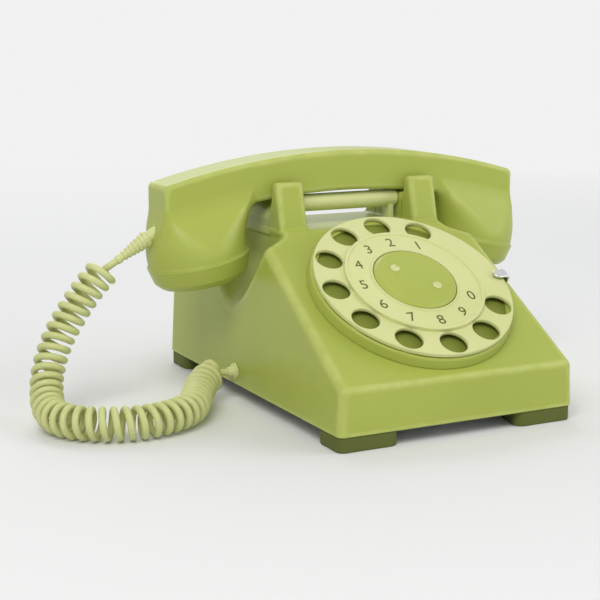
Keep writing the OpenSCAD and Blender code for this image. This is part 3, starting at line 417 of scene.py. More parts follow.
# shader parts
def addNode(tree, kind, values=None, **settings):
    # a node whose inputs are set from numbers or from other nodes' sockets
    node = tree.nodes.new(kind)
    for key, value in settings.items():
        setattr(node, key, value)
    for key, value in (values or {}).items():
        if isinstance(value, bpy.types.NodeSocket):
            tree.links.new(value, node.inputs[key])
        else:
            node.inputs[key].default_value = value
    return node


def scaled(tree, value, low, high, toLow, toHigh):
    return addNode(tree, "ShaderNodeMapRange", {0: value, 1: low, 2: high, 3: toLow, 4: toHigh}).outputs[0]


def combined(tree, how, a, b):
    return addNode(tree, "ShaderNodeMath", {0: a, 1: b}, operation=how).outputs[0]


def times(tree, a, b):
    return combined(tree, "MULTIPLY", a, b)


def plus(tree, a, b):
    return combined(tree, "ADD", a, b)


def blended(tree, factor, a, b):
    return addNode(tree, "ShaderNodeMix", {"Factor": factor, 6: a, 7: b}, data_type="RGBA").outputs[2]


def noise(tree, at, scale, detail, **more):
    values = {"Vector": at, "Scale": scale, "Detail": detail, **more}
    return addNode(tree, "ShaderNodeTexNoise", values).outputs[0]


def objectPlace(tree):
    return addNode(tree, "ShaderNodeTexCoord").outputs["Object"]


def startGroup(name, inputs, outputs):
    # a group whose inputs are known by their starting values: a colour, a direction or a number
    kinds = {4: "NodeSocketColor", 3: "NodeSocketVector"}
    group = bpy.data.node_groups.new(name, "ShaderNodeTree")
    for label, value in inputs.items():
        kind = kinds[len(value)] if isinstance(value, tuple) else "NodeSocketFloat"
        group.interface.new_socket(name=label, in_out="INPUT", socket_type=kind).default_value = value
    for label in outputs:
        kind = "NodeSocketColor" if label == "Color" else "NodeSocketFloat"
        group.interface.new_socket(name=label, in_out="OUTPUT", socket_type=kind)
    return group, addNode(group, "NodeGroupInput").outputs, addNode(group, "NodeGroupOutput").inputs


grey = (0.5, 0.5, 0.5, 1)
# ridge and hollow are ranges of the edge bend; hollowShade is the strongest painted shade in hollows
pigment = {"driftScale": 14, "fleckScale": 620, "chipScale": 90, "ridge": (0.08, 0.46),
           "hollow": (-0.15, -0.8), "hollowShade": 0.6}
skin = {"cloudScale": 32, "rippleScale": 260, "hairs": ((0.6, (1100, 14, 30)), (-0.9, (16, 980, 26))),
        "hairFrom": 0.74, "hairTo": 0.84, "hairDeep": 0.03, "wornRough": 0.15}
plating = {"spotScale": 70, "streakRough": (-0.05, 0.08), "stainRough": 0.3}


def makeToneGroup():
    # colour of a moulding: slow drift of the pigment, fine flecks, pale ridges that are partly wear and
    # partly a painted highlight, and hollows darkened with painted shade
    group, given, made = startGroup(
        "mouldedTone", {"Base": grey, "Deep": grey, "Ridge": grey, "Drift": 0.3, "WearAndPaintedLight": 0.3},
        ["Color", "WornAndHighlit"])
    at = objectPlace(group)
    slow, fine = noise(group, at, pigment["driftScale"], 3), noise(group, at, pigment["fleckScale"], 2)
    chips = noise(group, at, pigment["chipScale"], 4)
    mottle = plus(group, scaled(group, slow, 0.35, 0.65, 0, 0.8), scaled(group, fine, 0.3, 0.7, 0, 0.2))
    tone = blended(group, times(group, mottle, given["Drift"]), given["Base"], given["Deep"])
    edge = addNode(group, "ShaderNodeAttribute", attribute_name="edge").outputs["Fac"]
    # ridges turn toward the pale Ridge colour, broken up by chips: partly wear, partly a painted highlight
    # along the edges
    wornAndHighlit = times(group, scaled(group, edge, *pigment["ridge"], 0, 1),
                 scaled(group, chips, 0.38, 0.62, 0.45, 1))
    wornAndHighlit = times(group, wornAndHighlit, given["WearAndPaintedLight"])
    # hollows turn toward the Deep colour: painted shade in creases and recesses
    hollow = times(group, scaled(group, edge, *pigment["hollow"], 0, pigment["hollowShade"]), given["WearAndPaintedLight"])
    tone = blended(group, wornAndHighlit, tone, given["Ridge"])
    group.links.new(blended(group, hollow, tone, given["Deep"]), made["Color"])
    group.links.new(wornAndHighlit, made["WornAndHighlit"])
    return group


def makeHandlingGroup():
    # gloss of a handled surface: cloudy smudges and hairline scratches, with a fine ripple in the skin
    group, given, made = startGroup(
        "handledSkin", {"Gloss": 0.25, "Smudge": 0.12, "Scratch": 0.1, "Ripple": 0.3, "WornAndHighlit": 0.0},
        ["Roughness", "Height"])
    at = objectPlace(group)
    cloud = noise(group, at, skin["cloudScale"], 5, Roughness=0.6, Distortion=0.6)
    smear = times(group, scaled(group, cloud, 0.45, 0.75, 0, 1), given["Smudge"])
    lines = []
    for turn, stretch in skin["hairs"]:
        turned = addNode(group, "ShaderNodeMapping",
                         {"Vector": at, "Rotation": (0.3, turn, turn), "Scale": stretch}).outputs[0]
        lines.append(scaled(group, noise(group, turned, 1, 1), skin["hairFrom"], skin["hairTo"], 0, 1))
    hairs = combined(group, "MAXIMUM", *lines)
    rough = plus(group, given["Gloss"], smear)
    rough = plus(group, rough, times(group, hairs, given["Scratch"]))
    rough = plus(group, rough, times(group, given["WornAndHighlit"], skin["wornRough"]))
    ripple = times(group, noise(group, at, skin["rippleScale"], 2), given["Ripple"])
    height = combined(group, "SUBTRACT", ripple, times(group, hairs, skin["hairDeep"]))
    group.links.new(rough, made["Roughness"])
    group.links.new(height, made["Height"])
    return group


def makeMetalGroup():
    # plated or drawn metal: streaks along one direction, spots of tarnish and a changing gloss
    group, given, made = startGroup(
        "metalSkin", {"Bright": grey, "Dull": grey, "Gloss": 0.25, "Streak": (40, 40, 900), "Tarnish": 0.4},
        ["Color", "Roughness", "Height"])
    at = objectPlace(group)
    stretched = addNode(group, "ShaderNodeVectorMath", {0: at, 1: given["Streak"]}, operation="MULTIPLY")
    streak = noise(group, stretched.outputs[0], 1, 4)
    spots = noise(group, at, plating["spotScale"], 6, Roughness=0.65)
    stain = times(group, scaled(group, spots, 0.45, 0.75, 0, 1), given["Tarnish"])
    rough = plus(group, given["Gloss"], scaled(group, streak, 0.3, 0.7, *plating["streakRough"]))
    rough = plus(group, rough, times(group, stain, plating["stainRough"]))
    group.links.new(blended(group, stain, given["Bright"], given["Dull"]), made["Color"])
    group.links.new(rough, made["Roughness"])
    group.links.new(streak, made["Height"])
    return group


toneGroup, handlingGroup, metalGroup = makeToneGroup(), makeHandlingGroup(), makeMetalGroup()


def startMaterial(name, **sockets):
    # an empty material with one Principled shader, whose fixed numbers are set on its own sockets
    material = bpy.data.materials.new(name)
    material.use_nodes = True
    tree = material.node_tree
    tree.nodes.clear()
    shader = addNode(tree, "ShaderNodeBsdfPrincipled")
    for key, value in sockets.items():
        shader.inputs[key.replace("_", " ")].default_value = value
    addNode(tree, "ShaderNodeOutputMaterial", {"Surface": shader.outputs[0]})
    return material, tree, shader


def linear(r, g, b):
    # screen colour from 0 to 255 as the light it stands for
    v = np.array([r, g, b]) / 255
    v = np.where(v <= 0.04045, v / 12.92, ((v + 0.055) / 1.055) ** 2.4)
    return (*[float(x) for x in v], 1)


def joinShader(tree, shader, colour, made, strength, depth):
    # colour, gloss and a relief of a depth in metres
    relief = addNode(tree, "ShaderNodeBump",
                     {"Strength": strength, "Distance": depth, "Height": made["Height"]}).outputs[0]
    for key, value in (("Base Color", colour), ("Roughness", made["Roughness"]), ("Normal", relief)):
        tree.links.new(value, shader.inputs[key])


# wearAndPaintedLight sets the strength of the pale ridges (wear and painted highlight) and of the painted
# shade in hollows
def plastic(name, base, deep, ridge, gloss=0.31, smudge=0.1, scratch=0.07, ripple=0.3, drift=0.55,
            wearAndPaintedLight=0.45):
    material, tree, shader = startMaterial(name, Specular_IOR_Level=0.27)
    tone = addNode(tree, "ShaderNodeGroup",
                   {"Base": linear(*base), "Deep": linear(*deep), "Ridge": linear(*ridge), "Drift": drift,
                    "WearAndPaintedLight": wearAndPaintedLight}, node_tree=toneGroup).outputs
    handled = addNode(tree, "ShaderNodeGroup",
                      {"Gloss": gloss, "Smudge": smudge, "Scratch": scratch, "Ripple": ripple,
                       "WornAndHighlit": tone["WornAndHighlit"]}, node_tree=handlingGroup).outputs
    joinShader(tree, shader, tone["Color"], handled, 0.6, 0.000015)
    return material


def metal(name, bright, dull, gloss=0.28, streak=(60, 60, 900), tarnish=0.35):
    material, tree, shader = startMaterial(name, Metallic=1.0)
    plated = addNode(tree, "ShaderNodeGroup",
                     {"Bright": linear(*bright), "Dull": linear(*dull), "Gloss": gloss, "Streak": streak,
                      "Tarnish": tarnish}, node_tree=metalGroup).outputs
    joinShader(tree, shader, plated["Color"], plated, 0.5, 0.00003)
    return material


# finishes by the record's slots, each plastic with its colour, its deeper shade, which also serves as painted
# shade in hollows, and its pale ridge colour, which is partly wear and partly painted highlight
paleRidge = (226, 228, 176)
finish = {
    "body_plastic": plastic("limePlastic", (171, 181, 83), (159, 169, 73), (203, 209, 130)),
    "ivory_plastic": plastic("palePlastic", (212, 215, 152), (198, 202, 134), paleRidge, gloss=0.3,
                             scratch=0.03),
    "cord_cover": plastic("cordCover", (208, 212, 148), (190, 194, 126), paleRidge, gloss=0.36, smudge=0.16,
                          scratch=0.02, ripple=0.6, drift=0.6, wearAndPaintedLight=0.0),
    "dial_face": plastic("dialFace", (128, 137, 56), (116, 125, 48), (150, 158, 74), gloss=0.5, ripple=0.9,
                         drift=0.5),
    "foot_rubber": plastic("footRubber", (97, 104, 46), (82, 88, 38), (122, 130, 62), gloss=0.62, ripple=1.4,
                           scratch=0.05, drift=0.8),
    "black_plastic": plastic("blackPlastic", (34, 34, 32), (24, 24, 23), (60, 60, 58), gloss=0.42,
                             ripple=0.8),
    "circuit_case": plastic("circuitCase", (86, 96, 46), (72, 82, 38), (110, 118, 66), gloss=0.45,
                            ripple=0.8),
    "coil_varnish": plastic("coilVarnish", (150, 84, 34), (112, 56, 22), (186, 118, 60), gloss=0.25,
                            drift=0.8),
    "steel": metal("zincSteel", (196, 198, 200), (138, 138, 132), gloss=0.32),
    "finger_stop_steel": metal("polishedSteel", (214, 215, 214), (170, 170, 166), gloss=0.12,
                               streak=(500, 60, 60), tarnish=0.2),
    "capsule_metal": metal("capsuleMetal", (190, 192, 194), (140, 142, 144), gloss=0.36),
    "brass": metal("brass", (208, 176, 106), (140, 108, 58), gloss=0.26),
}
numeralInk = plastic("numeralInk", (92, 100, 40), (80, 88, 34), (110, 118, 52), gloss=0.45, ripple=0.2,
                     wearAndPaintedLight=0)
print("stage: materials made")

# curly cord, whose route is the one of its solid
cord = {"diameter": 3.8, "curl": 18, "pitch": 6, "lead": 5.3, "sweep": 8, "perCurl": 34, "around": 16,
        "bootRoot": (-115, 22, 95), "bootLength": 24.7, "bootDrop": math.radians(31.8), "glandZ": 15.6,
        "glandY": 12, "glandTipX": -76}
bootAxis = np.array([-math.cos(cord["bootDrop"]), 0, -math.sin(cord["bootDrop"])])
bootTip = np.array(cord["bootRoot"]) + cord["bootLength"] * bootAxis
glandX = -(body["width"] / 2 - (cord["glandZ"] - body["footZ"]) * math.tan(body["draft"]))
cordRoute = np.array([
    bootTip, (-140.2, 22, 79.4), (-145, 22, 76), (-153, 22, 67.5), (-162, 22, 55.5), (-171, 20, 42),
    (-178, 15, 28), (-182, 6, 17), (-184, -6, 11), (-182, -20, 9.6), (-174, -32, 9.6), (-161, -40, 9.6),
    (-145, -43, 9.6), (-129, -39, 9.6), (-116, -30, 9.6), (-108, -18, 9.8), (-101, -6, 10.8),
    (-95, 3, 12.6), (-89, 9, 14.4), (-82.5, 11.8, 15.6), (cord["glandTipX"], cord["glandY"], cord["glandZ"])])


def routeCurve(route, samples=10):
    # Catmull-Rom curve through the route's points
    t = (np.arange(samples) / samples)[None, :, None]
    b, c = route[:-1][:, None], route[1:][:, None]
    a = np.concatenate([route[:1], route[:-2]])[:, None]
    d = np.concatenate([route[2:], route[-1:]])[:, None]
    curve = b + 0.5 * t * ((c - a) + t * ((2 * a - 5 * b + 4 * c - d) + t * (3 * (b - c) + d - a)))
    return np.concatenate([curve.reshape(-1, 3), route[-1:]])


def unitRows(v):
    return v / np.linalg.norm(v, axis=1)[:, None]


def runAlong(line):
    return np.concatenate([[0], np.cumsum(np.linalg.norm(np.diff(line, axis=0), axis=1))])


def cordLine():
    # the route's run carries a turning arm; over a short sweep at each end the cord leans from along the
    # run into a curl's slope, and the arm is its full reach times the sine of the first quarter turn
    curve = routeCurve(cordRoute)
    run = runAlong(curve)
    step = np.arange(len(curve))
    tangent = unitRows(curve[np.minimum(step + 1, step[-1])] - curve[np.maximum(step - 1, 0)])
    side = np.zeros_like(curve)
    arm = np.array([0.0, 1, 0])
    for i, t in enumerate(tangent):
        arm = arm - (arm @ t) * t
        arm /= np.linalg.norm(arm)
        side[i] = arm
    reach, rise = (cord["curl"] - cord["diameter"]) / 2, cord["pitch"] / fullTurn
    curls = math.floor((run[-1] - 2 * cord["lead"]) / cord["pitch"])
    share = np.linspace(0, 1, 17)
    lean = math.atan2(reach, rise) * share ** 2 * (3 - 2 * share)
    sweepStep = cord["sweep"] / (len(share) - 1)
    summed = lambda v: np.concatenate([[0], np.cumsum((v[1:] + v[:-1]) / 2)]) * sweepStep
    endTurn, endRun = summed(np.sin(lean)) / reach, summed(np.cos(lean))
    whole = fullTurn * (curls - 0.25)
    steady = np.linspace(endTurn[-1], whole - endTurn[-1], curls * cord["perCurl"])[1:-1]
    total = 2 * endRun[-1] + (whole - 2 * endTurn[-1]) * rise
    start = (run[-1] - total) / 2
    place = np.concatenate([[0, start / 2], start + endRun,
                            start + endRun[-1] + (steady - endTurn[-1]) * rise,
                            start + total - endRun[::-1], [run[-1] - start / 2, run[-1]]])
    turn = np.concatenate([[0, 0], endTurn, steady, whole - endTurn[::-1], [whole, whole]])
    grown = np.sin(np.minimum(np.minimum(turn, whole - turn), math.pi / 2))
    pick = lambda rows: np.stack([np.interp(place, run, rows[:, k]) for k in range(3)], 1)
    centre, t, n = pick(curve), unitRows(pick(tangent)), pick(side)
    n = unitRows(n - (n * t).sum(1)[:, None] * t)
    out = np.cos(turn)[:, None] * n + np.sin(turn)[:, None] * np.cross(t, n)
    return centre + reach * grown[:, None] * out, out


def tubeMesh(name, line, up, radius, around):
    # circle of a radius carried along a line: p + r (cos b u + sin b v)
    t = unitRows(np.gradient(line, axis=0))
    u = unitRows(up - (up * t).sum(1)[:, None] * t)
    v = np.cross(t, u)
    b = np.arange(around)[None, :, None] * fullTurn / around
    rings = line[:, None] + radius * (np.cos(b) * u[:, None] + np.sin(b) * v[:, None])
    return ringsMesh(name, rings, line[[0, -1]], sharp=60)


cordPath, cordUp = cordLine()
cordTube = tubeMesh("curlyCord", cordPath, cordUp, cord["diameter"] / 2, cord["around"])
curlyCord = addPiece("curlyCord", cordTube, None, ["handset_cord"], "cord_cover", weighted=False)
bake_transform(curlyCord)

# ribbed sleeve at the handset: each rib is a little narrower than the last
boot = {"ribs": 7, "first": 4.4, "last": 21.5, "wide": 4.8, "narrow": 2.75, "groove": 0.75, "neckR": 3.4,
        "root": -6, "neckEnd": 3.2, "tipR": 2.35}
ribPitch = (boot["last"] - boot["first"]) / boot["ribs"]
bootProfile = [[0, boot["root"], 0], [boot["neckR"], boot["root"], 0.4], [boot["neckR"], boot["neckEnd"], 0],
               [4.4, 3.4, 0.4]]
for i in range(boot["ribs"]):
    z = boot["first"] + ribPitch * i
    r = boot["wide"] + (boot["narrow"] - boot["wide"]) * i / (boot["ribs"] - 1)
    grooveR = r - boot["groove"]
    bootProfile += [[r, z, 0.35], [r - 0.1, z + ribPitch * 0.52, 0.35], [grooveR, z + ribPitch * 0.6, 0.2],
                    [grooveR, z + ribPitch * 0.92, 0.2]]
bootProfile += [[2.5, boot["last"] + 0.6, 0.3], [boot["tipR"], cord["bootLength"], 0.4],
                [0, cord["bootLength"], 0]]
bootMesh = latheMesh("cordBoot", roundedOutline(bootProfile, 3), alongAxis(cord["bootRoot"], bootAxis), 48)
cordBoot = addPiece("cordBoot", bootMesh, "handset", ["handset_cord_boot"], "ivory_plastic")

# flanged sleeve in the housing's side
gland = {"tipR": 2.5, "coneR": 3.3, "coneTo": -1.7, "flangeR": 4.7, "neckR": 3.4, "outFrom": -1.5,
         "outTo": -0.1, "inFrom": 2.9, "inTo": 4.4}
tip, wide, neck = cord["glandTipX"] - glandX, gland["flangeR"], gland["neckR"]
glandProfile = [[0, tip, 0], [gland["tipR"], tip, 0.5], [gland["coneR"], gland["coneTo"], 0.5],
                [wide, gland["outFrom"], 0.4], [wide, gland["outTo"], 0.2], [neck, gland["outTo"], 0],
                [neck, gland["inFrom"], 0], [wide, gland["inFrom"], 0.2], [wide, gland["inTo"], 0.4],
                [0, gland["inTo"], 0]]
glandPlace = alongAxis((glandX, cord["glandY"], cord["glandZ"]), (1, 0, 0))
cordGland = addPiece("cordGland", latheMesh("cordGland", roundedOutline(glandProfile, 4), glandPlace, 48),
                     "base", ["cord_gland"], "ivory_plastic")

# housing
scoop = {"angle": math.radians(34.8), "lowZ": 51, "edge": 2.5, "lip": 1.4}
saddle = {"high": 26, "in": 1.5, "taper": 7, "mouth": 2.6, "seatDrop": 6, "seatWall": 1, "seatMiddle": 10,
          "fall": 8 / 7, "seatEase": 0.9, "edge": 2.2, "seatFillet": 1.6, "rootFillet": 2.2}
shell = {"insideEdge": 1.2, "rimEdge": 0.5, "bossAt": (62.5, 73), "bossR": 4, "bossLowZ": 10.7,
         "dialR": 44.5, "reach": 10, "slotHalf": (2, 5, 6), "cordR": 3.5, "cordX": -66,
         "lineAt": (-32, 106, 22), "lineR": 4.5}


def scoopField(ax, y, z):
    # a cone below each cup, cut off where the crown's block begins
    lean = (scoop["lowZ"] - body["footZ"]) * math.tan(body["draft"])
    apexZ = scoop["lowZ"] - (cupX - body["width"] / 2 + lean) / math.tan(scoop["angle"])
    away, c, s = np.hypot(ax - cupX, y - handsetY), math.cos(scoop["angle"]), math.sin(scoop["angle"])
    return roundedAnd(away * c - (z - apexZ) * s, cradleHalf - ax, r=scoop["edge"])


def saddleField(ax, y, z):
    # a prong in front and behind, the grip's seat between them, cut to the saddle's length
    away, near = np.abs(y - handsetY), body["crownHalf"] - saddle["in"]
    half = handset["gripWidth"] / 2 + cradle["seatGap"]
    top, foot = body["crownZ"] + saddle["high"], body["crownZ"] - body["wall"]
    middle = saddleIn + saddle["seatMiddle"]
    seatZ = handset["under"] - archRate * middle ** 2 - cradle["seatGap"]
    prong = outlineDistance([(near, foot), (near - saddle["taper"], top), (half + saddle["mouth"], top),
                             (half, seatZ - saddle["seatDrop"]), (half, foot)], away, z, saddle["edge"])
    lean = np.clip(ax - middle, 0, None) * saddle["fall"]
    seat = np.maximum(away - half - saddle["seatWall"], (z - seatZ + lean) * saddle["seatEase"])
    long = np.abs(ax - saddleIn - cradle["long"] / 2) - cradle["long"] / 2
    form = roundedAnd(roundedOr(prong, seat, saddle["seatFillet"]), long, r=saddle["edge"])
    return np.maximum(form, foot - z)


def housingField(x, y, z):
    # body of side profile and leaning side walls with rounded edges, less the two scoops, with the
    # saddles on the crown; hollowed to its wall, with screw bosses, and holes for the dial, the lift
    # bar's arms, the cord and the line
    ax, w = np.abs(x), body["wall"]
    section = outlineDistance([(frontY, body["lowZ"]), (frontY, body["skirtZ"]), (panelTopY, body["crownZ"]),
                               (handsetY + body["crownHalf"], body["crownZ"]), (-frontY, body["rearZ"]),
                               (-frontY, body["lowZ"])], y, z, body["edge"])
    side = (ax - body["width"] / 2 + (z - body["footZ"]) * math.tan(body["draft"])) * math.cos(body["draft"])
    outer = roundedAnd(section, side, r=body["edge"])
    scooped = scoopField(ax, y, z)
    form = roundedOr(without(outer, scooped, scoop["lip"]), saddleField(ax, y, z), saddle["rootFillet"])
    form = np.maximum(form, -roundedAnd(outer + w, w - scooped, r=shell["insideEdge"]))
    post = np.hypot(ax - shell["bossAt"][0], np.abs(y) - shell["bossAt"][1]) - shell["bossR"]
    form = np.minimum(form, np.maximum(np.maximum(post, shell["bossLowZ"] - z), outer))
    c, s = math.cos(dialTilt), math.sin(dialTilt)
    up = (y - dialAt[1]) * c + (z - dialAt[2]) * s
    out = (z - dialAt[2]) * c - (y - dialAt[1]) * s
    slotWide, slotDeep, slotHigh = shell["slotHalf"]
    lineX, lineY, lineZ = shell["lineAt"]
    slot = np.maximum(np.abs(ax - slotX) - slotWide, np.abs(y - barY) - slotDeep)
    cordAway = np.hypot(y - cord["glandY"], z - cord["glandZ"])
    for hole in (roundBar(np.hypot(x, up), out, shell["dialR"], shell["reach"]),
                 np.maximum(slot, np.abs(z - body["crownZ"]) - slotHigh),
                 roundBar(cordAway, x - shell["cordX"], shell["cordR"], shell["reach"]),
                 roundBar(np.hypot(x - lineX, z - lineZ), y - lineY, shell["lineR"], shell["reach"])):
        form = np.maximum(form, -hole)
    return roundedAnd(form, body["footZ"] - z, r=shell["rimEdge"])


housingAxes = (
    stepAxis((-73, -50, 1), (-50, -36, 1.1), (-36, -26, 0.85), (-26, 26, 2.6), (26, 36, 0.85), (36, 50, 1.1),
             (50, 73, 1)),
    stepAxis((-113, -105, 0.8), (-105, -12, 2.3), (-12, 57, 1.03), (57, 104, 2.3), (104, 113, 0.8)),
    stepAxis((6.4, 10, 0.6), (10, 27, 1.7), (27, 37, 0.9), (37, 92, 1.3), (92, 124, 0.85)))
housingShell = addPiece("housingShell", fieldMesh("housingShell", housingField, housingAxes), "base",
                        ["housing", "shoulder_left", "shoulder_right", "cradle"], "body_plastic",
                        weighted=False)
print("stage: housing made,", len(housingShell.data.polygons), "faces")

# handset
grip = {"sliceIn": 2, "sliceOut": 3.5, "collar": 2.5, "slab": 12, "cupEase": 0.93, "fillet": 13, "sunk": 1.0,
        "farFrom": 45, "farLift": 40, "cavityR": 23.4, "cavityHigh": 6.6, "throatR": 16.5,
        "throatHigh": 10, "boreR": 3.2, "boreReach": 20}


def handsetField(x, y, z):
    # arched bar of rounded rectangular section; a cup at each end whose section goes from the bar's
    # rectangle to a circle at the joint, where it sinks a little into the cap; both hollowed for the
    # capsule, and a bore for the cord's sleeve
    ax, ay, edge = np.abs(x), np.abs(y - handsetY), handset["edge"]
    ease = 1 / np.sqrt(1 + (2 * archRate * ax) ** 2)
    over = (z - handset["under"] - handset["thick"] + archRate * ax ** 2) * ease
    below = (handset["under"] - archRate * ax ** 2 - z) * ease
    sliceIn, sliceOut = cupX - handset["cupR"] - grip["sliceIn"], handset["length"] / 2 - grip["sliceOut"]
    bar = roundedAnd(np.maximum(over, below), ax - sliceOut, ay - handset["gripWidth"] / 2, r=edge)
    c, s = math.cos(handset["tilt"]), math.sin(handset["tilt"])
    lx = (ax - cupX) * c - (z - handset["cupZ"]) * s
    lz = (ax - cupX) * s + (z - handset["cupZ"]) * c
    low, high = np.maximum(lz - grip["collar"], 0), np.maximum(-over - grip["slab"], 0)
    t = low / np.maximum(low + high, 1e-6)
    t = t * t * (3 - 2 * t)
    halfX, halfY = (sliceOut - sliceIn) / 2 - edge, handset["gripWidth"] / 2 - edge
    qx = np.abs((1 - t) * lx + t * (ax - (sliceIn + sliceOut) / 2)) - t * halfX
    qy = ay - t * halfY
    section = np.hypot(np.maximum(qx, 0), np.maximum(qy, 0)) + np.minimum(np.maximum(qx, qy), 0) \
        - (1 - t) * handset["cupR"] - t * edge
    joint = -lz - grip["sunk"]
    cup = np.maximum(roundedAnd(section * grip["cupEase"], over, r=edge), joint)
    form = roundedOr(bar, cup, grip["fillet"] * (1 - t))
    form = np.maximum(form, joint - grip["farLift"] * (np.abs(lx) > grip["farFrom"]))  # cut near the cup only
    away = np.hypot(lx, y - handsetY)
    form = np.maximum(form, -np.maximum(away - grip["cavityR"], lz - grip["cavityHigh"]))
    form = np.maximum(form, -np.maximum(away - grip["throatR"], lz - grip["throatHigh"]))
    dx, dy, dz = (v - root for v, root in zip((x, y, z), cord["bootRoot"]))
    along = dx * bootAxis[0] + dz * bootAxis[2]
    across = np.sqrt(np.maximum(dx ** 2 + dy ** 2 + dz ** 2 - along ** 2, 0))
    return np.maximum(form, -roundBar(across, along, grip["boreR"], grip["boreReach"]))


handsetAxes = (stepAxis((-119, -46, 0.85), (-46, 46, 2.0), (46, 119, 0.85)), stepAxis((-7.5, 51.5, 0.85)),
               stepAxis((73, 141, 0.85)))
handsetShell = addPiece("handsetShell", fieldMesh("handsetShell", handsetField, handsetAxes), "handset",
                        ["handset_grip"], "body_plastic", weighted=False)
print("stage: handset made,", len(handsetShell.data.polygons), "faces")

# caps: a lathed rim and a thin face with rings of sound holes
cap = {"faceR": 19.6, "faceLow": -12.3, "faceHigh": -10.5, "faceEdge": 0.25, "ringStep": 4.2,
       "rim": [[19, -12.2, 0], [20.2, -13, 0.5], [23, -13, 2.8], [26.5, -9.5, 2.4], [28.6, -1.6, 0],
               [28.8, -1.1, 0.4], [28.8, 0, 0.3], [28.2, 0.05, 0], [23.2, 0.05, 0], [23.2, 6, 0.3],
               [21.4, 6, 0.3], [21.4, -8, 1], [19, -10.6, 0]]}
for side, name, node, rings, holeR in ((-1, "transmitterCap", "transmitter_cap", 4, 1.1),
                                       (1, "receiverCap", "receiver_cap", 2, 1.4)):
    outlines = [circleOutline(0, 0, cap["faceR"], 96)]
    for ring in range(rings):
        for i in range(max(6 * ring, 1)):
            a, r = i * math.pi / 3 / max(ring, 1), cap["ringStep"] * ring
            outlines.append(circleOutline(r * math.cos(a), r * math.sin(a), holeR, 16))
    face = plateMesh(name + "Face", outlines, cap["faceLow"], cap["faceHigh"], cap["faceEdge"], atCup(side),
                     segments=1)
    rim = latheMesh(name + "Rim", roundedOutline(cap["rim"], 5), atCup(side), 112)
    addPiece(name, joinMeshes(name, [rim, face]), "handset", [node], "body_plastic")

# dial surround: a band round the wheel and a ledge below it
surround = {"band": 4.6, "holeR": 44.5, "ledgeHigh": 3.4}
ledgeR = dial["r"] - surround["band"]
surroundProfile = [[surround["holeR"], 0, 0], [dial["r"] - 0.4, 0, 0], [dial["r"], 0.5, 0.4],
                   [dial["r"] - 0.7, dial["ringHigh"], 1.6], [ledgeR, dial["ringHigh"], 0.9],
                   [ledgeR - 0.2, surround["ledgeHigh"], 0.4], [surround["holeR"], surround["ledgeHigh"], 0]]
addPiece("dialSurround", latheMesh("dialSurround", roundedOutline(surroundProfile, 5), onDial, 160),
         "base", ["dial_surround"], "body_plastic")

# finger wheel
wheel = {"inner": 20, "holeEdge": 0.9, "rimEdge": 0.7, "leastWall": 0.05, "raysPerSide": (22, 8, 22, 20),
         "shares": [0, 0.012, 0.04, 0.09, 0.16, 0.28, 0.42, 0.58, 0.72, 0.84, 0.91, 0.96, 0.988, 1]}


def wheelMesh(name, place):
    # one patch for each 30 degrees: rays from a hole's centre run from its rim to the patch's border, and
    # a patch without a hole starts at a point; the height is that of a plate whose edges are rounded
    half, middle = math.radians(dial["holeStep"] / 2), np.array([dial["holeCircle"], 0.0])
    heading = lambda r, a: math.atan2(r * math.sin(a), r * math.cos(a) - middle[0]) % fullTurn
    marks = sorted(heading(r, a) for r in (wheel["inner"], dial["wheelR"]) for a in (-half, half))
    rays = [np.linspace(a, b, n, endpoint=False)
            for a, b, n in zip(marks, marks[1:] + [marks[0] + fullTurn], wheel["raysPerSide"])]
    nearRim = [dial["wheelR"] - wheel["rimEdge"] * share for share in (0.1, 0.3, 0.6, 1.0)]
    rays = np.sort(np.concatenate([*rays, [heading(r, a) for r in nearRim for a in (-half, half)]]))
    d = np.stack([np.cos(rays), np.sin(rays)], 1)
    reach, along = np.full(len(rays), np.inf), d @ middle
    for r in (wheel["inner"], dial["wheelR"]):
        square = along ** 2 - middle @ middle + r * r
        root = np.sqrt(np.maximum(square, 0))
        for t in (-along - root, -along + root):
            reach = np.where((square >= 0) & (t > 1e-6), np.minimum(reach, t), reach)
    for side in (-half, half):
        normal = np.array([-math.sin(side), math.cos(side)])
        speed = d @ normal
        t = -(middle @ normal) / np.where(np.abs(speed) < 1e-9, 1e-9, speed)
        reach = np.where(t > 1e-6, np.minimum(reach, t), reach)

    shares = np.array(wheel["shares"])[:, None]
    size = shares.size * len(rays)
    j = np.arange(len(rays))
    k = (j + 1) % len(rays)
    grid = gridFaces(shares.size, len(rays), ringCols=True)
    rounding = lambda gap, e: e * (1 - np.sqrt(np.maximum(1 - (1 - np.clip(gap / e, 0, 1)) ** 2, 0)))
    points, faces = [], []
    for i in range(round(360 / dial["holeStep"])):
        holed = i < dial["holeCount"]
        inner = dial["fingerR"] if holed else 0.0
        run = inner + shares * (reach - inner)
        flat = middle + run[..., None] * d
        r = np.linalg.norm(flat, axis=-1)
        drop = rounding(dial["wheelR"] - r, wheel["rimEdge"])
        if holed:
            drop += rounding(run - inner, wheel["holeEdge"])
        drop = np.minimum(drop, (wheelTop - wheelLow) / 2 - wheel["leastWall"])
        turn = math.radians(dial["firstHole"] + dial["holeStep"] * i)
        x = flat[..., 0] * math.cos(turn) - flat[..., 1] * math.sin(turn)
        y = flat[..., 0] * math.sin(turn) + flat[..., 1] * math.cos(turn)
        start = 2 * size * i
        for z in (wheelTop - drop, wheelLow + drop):
            points.append(np.stack([x, y, z], -1).reshape(-1, 3))
        wall = np.stack([start + j, start + k, start + size + k, start + size + j], 1)
        faces += [grid + start, grid + start + size]
        if holed:
            faces.append(wall)
        for border in (wheel["inner"], dial["wheelR"]):
            on = np.abs(r[-1] - border) < 1e-6
            faces.append((wall + size - len(rays))[on[j] & on[k]])
    raw = bpy.data.meshes.new(name)
    raw.from_pydata(np.concatenate(points).tolist(), [], np.concatenate(faces).tolist())
    return placedMesh(name, raw, place)


addPiece("fingerWheel", wheelMesh("fingerWheel", onDial), "dial_wheel", ["finger_wheel"], "ivory_plastic")

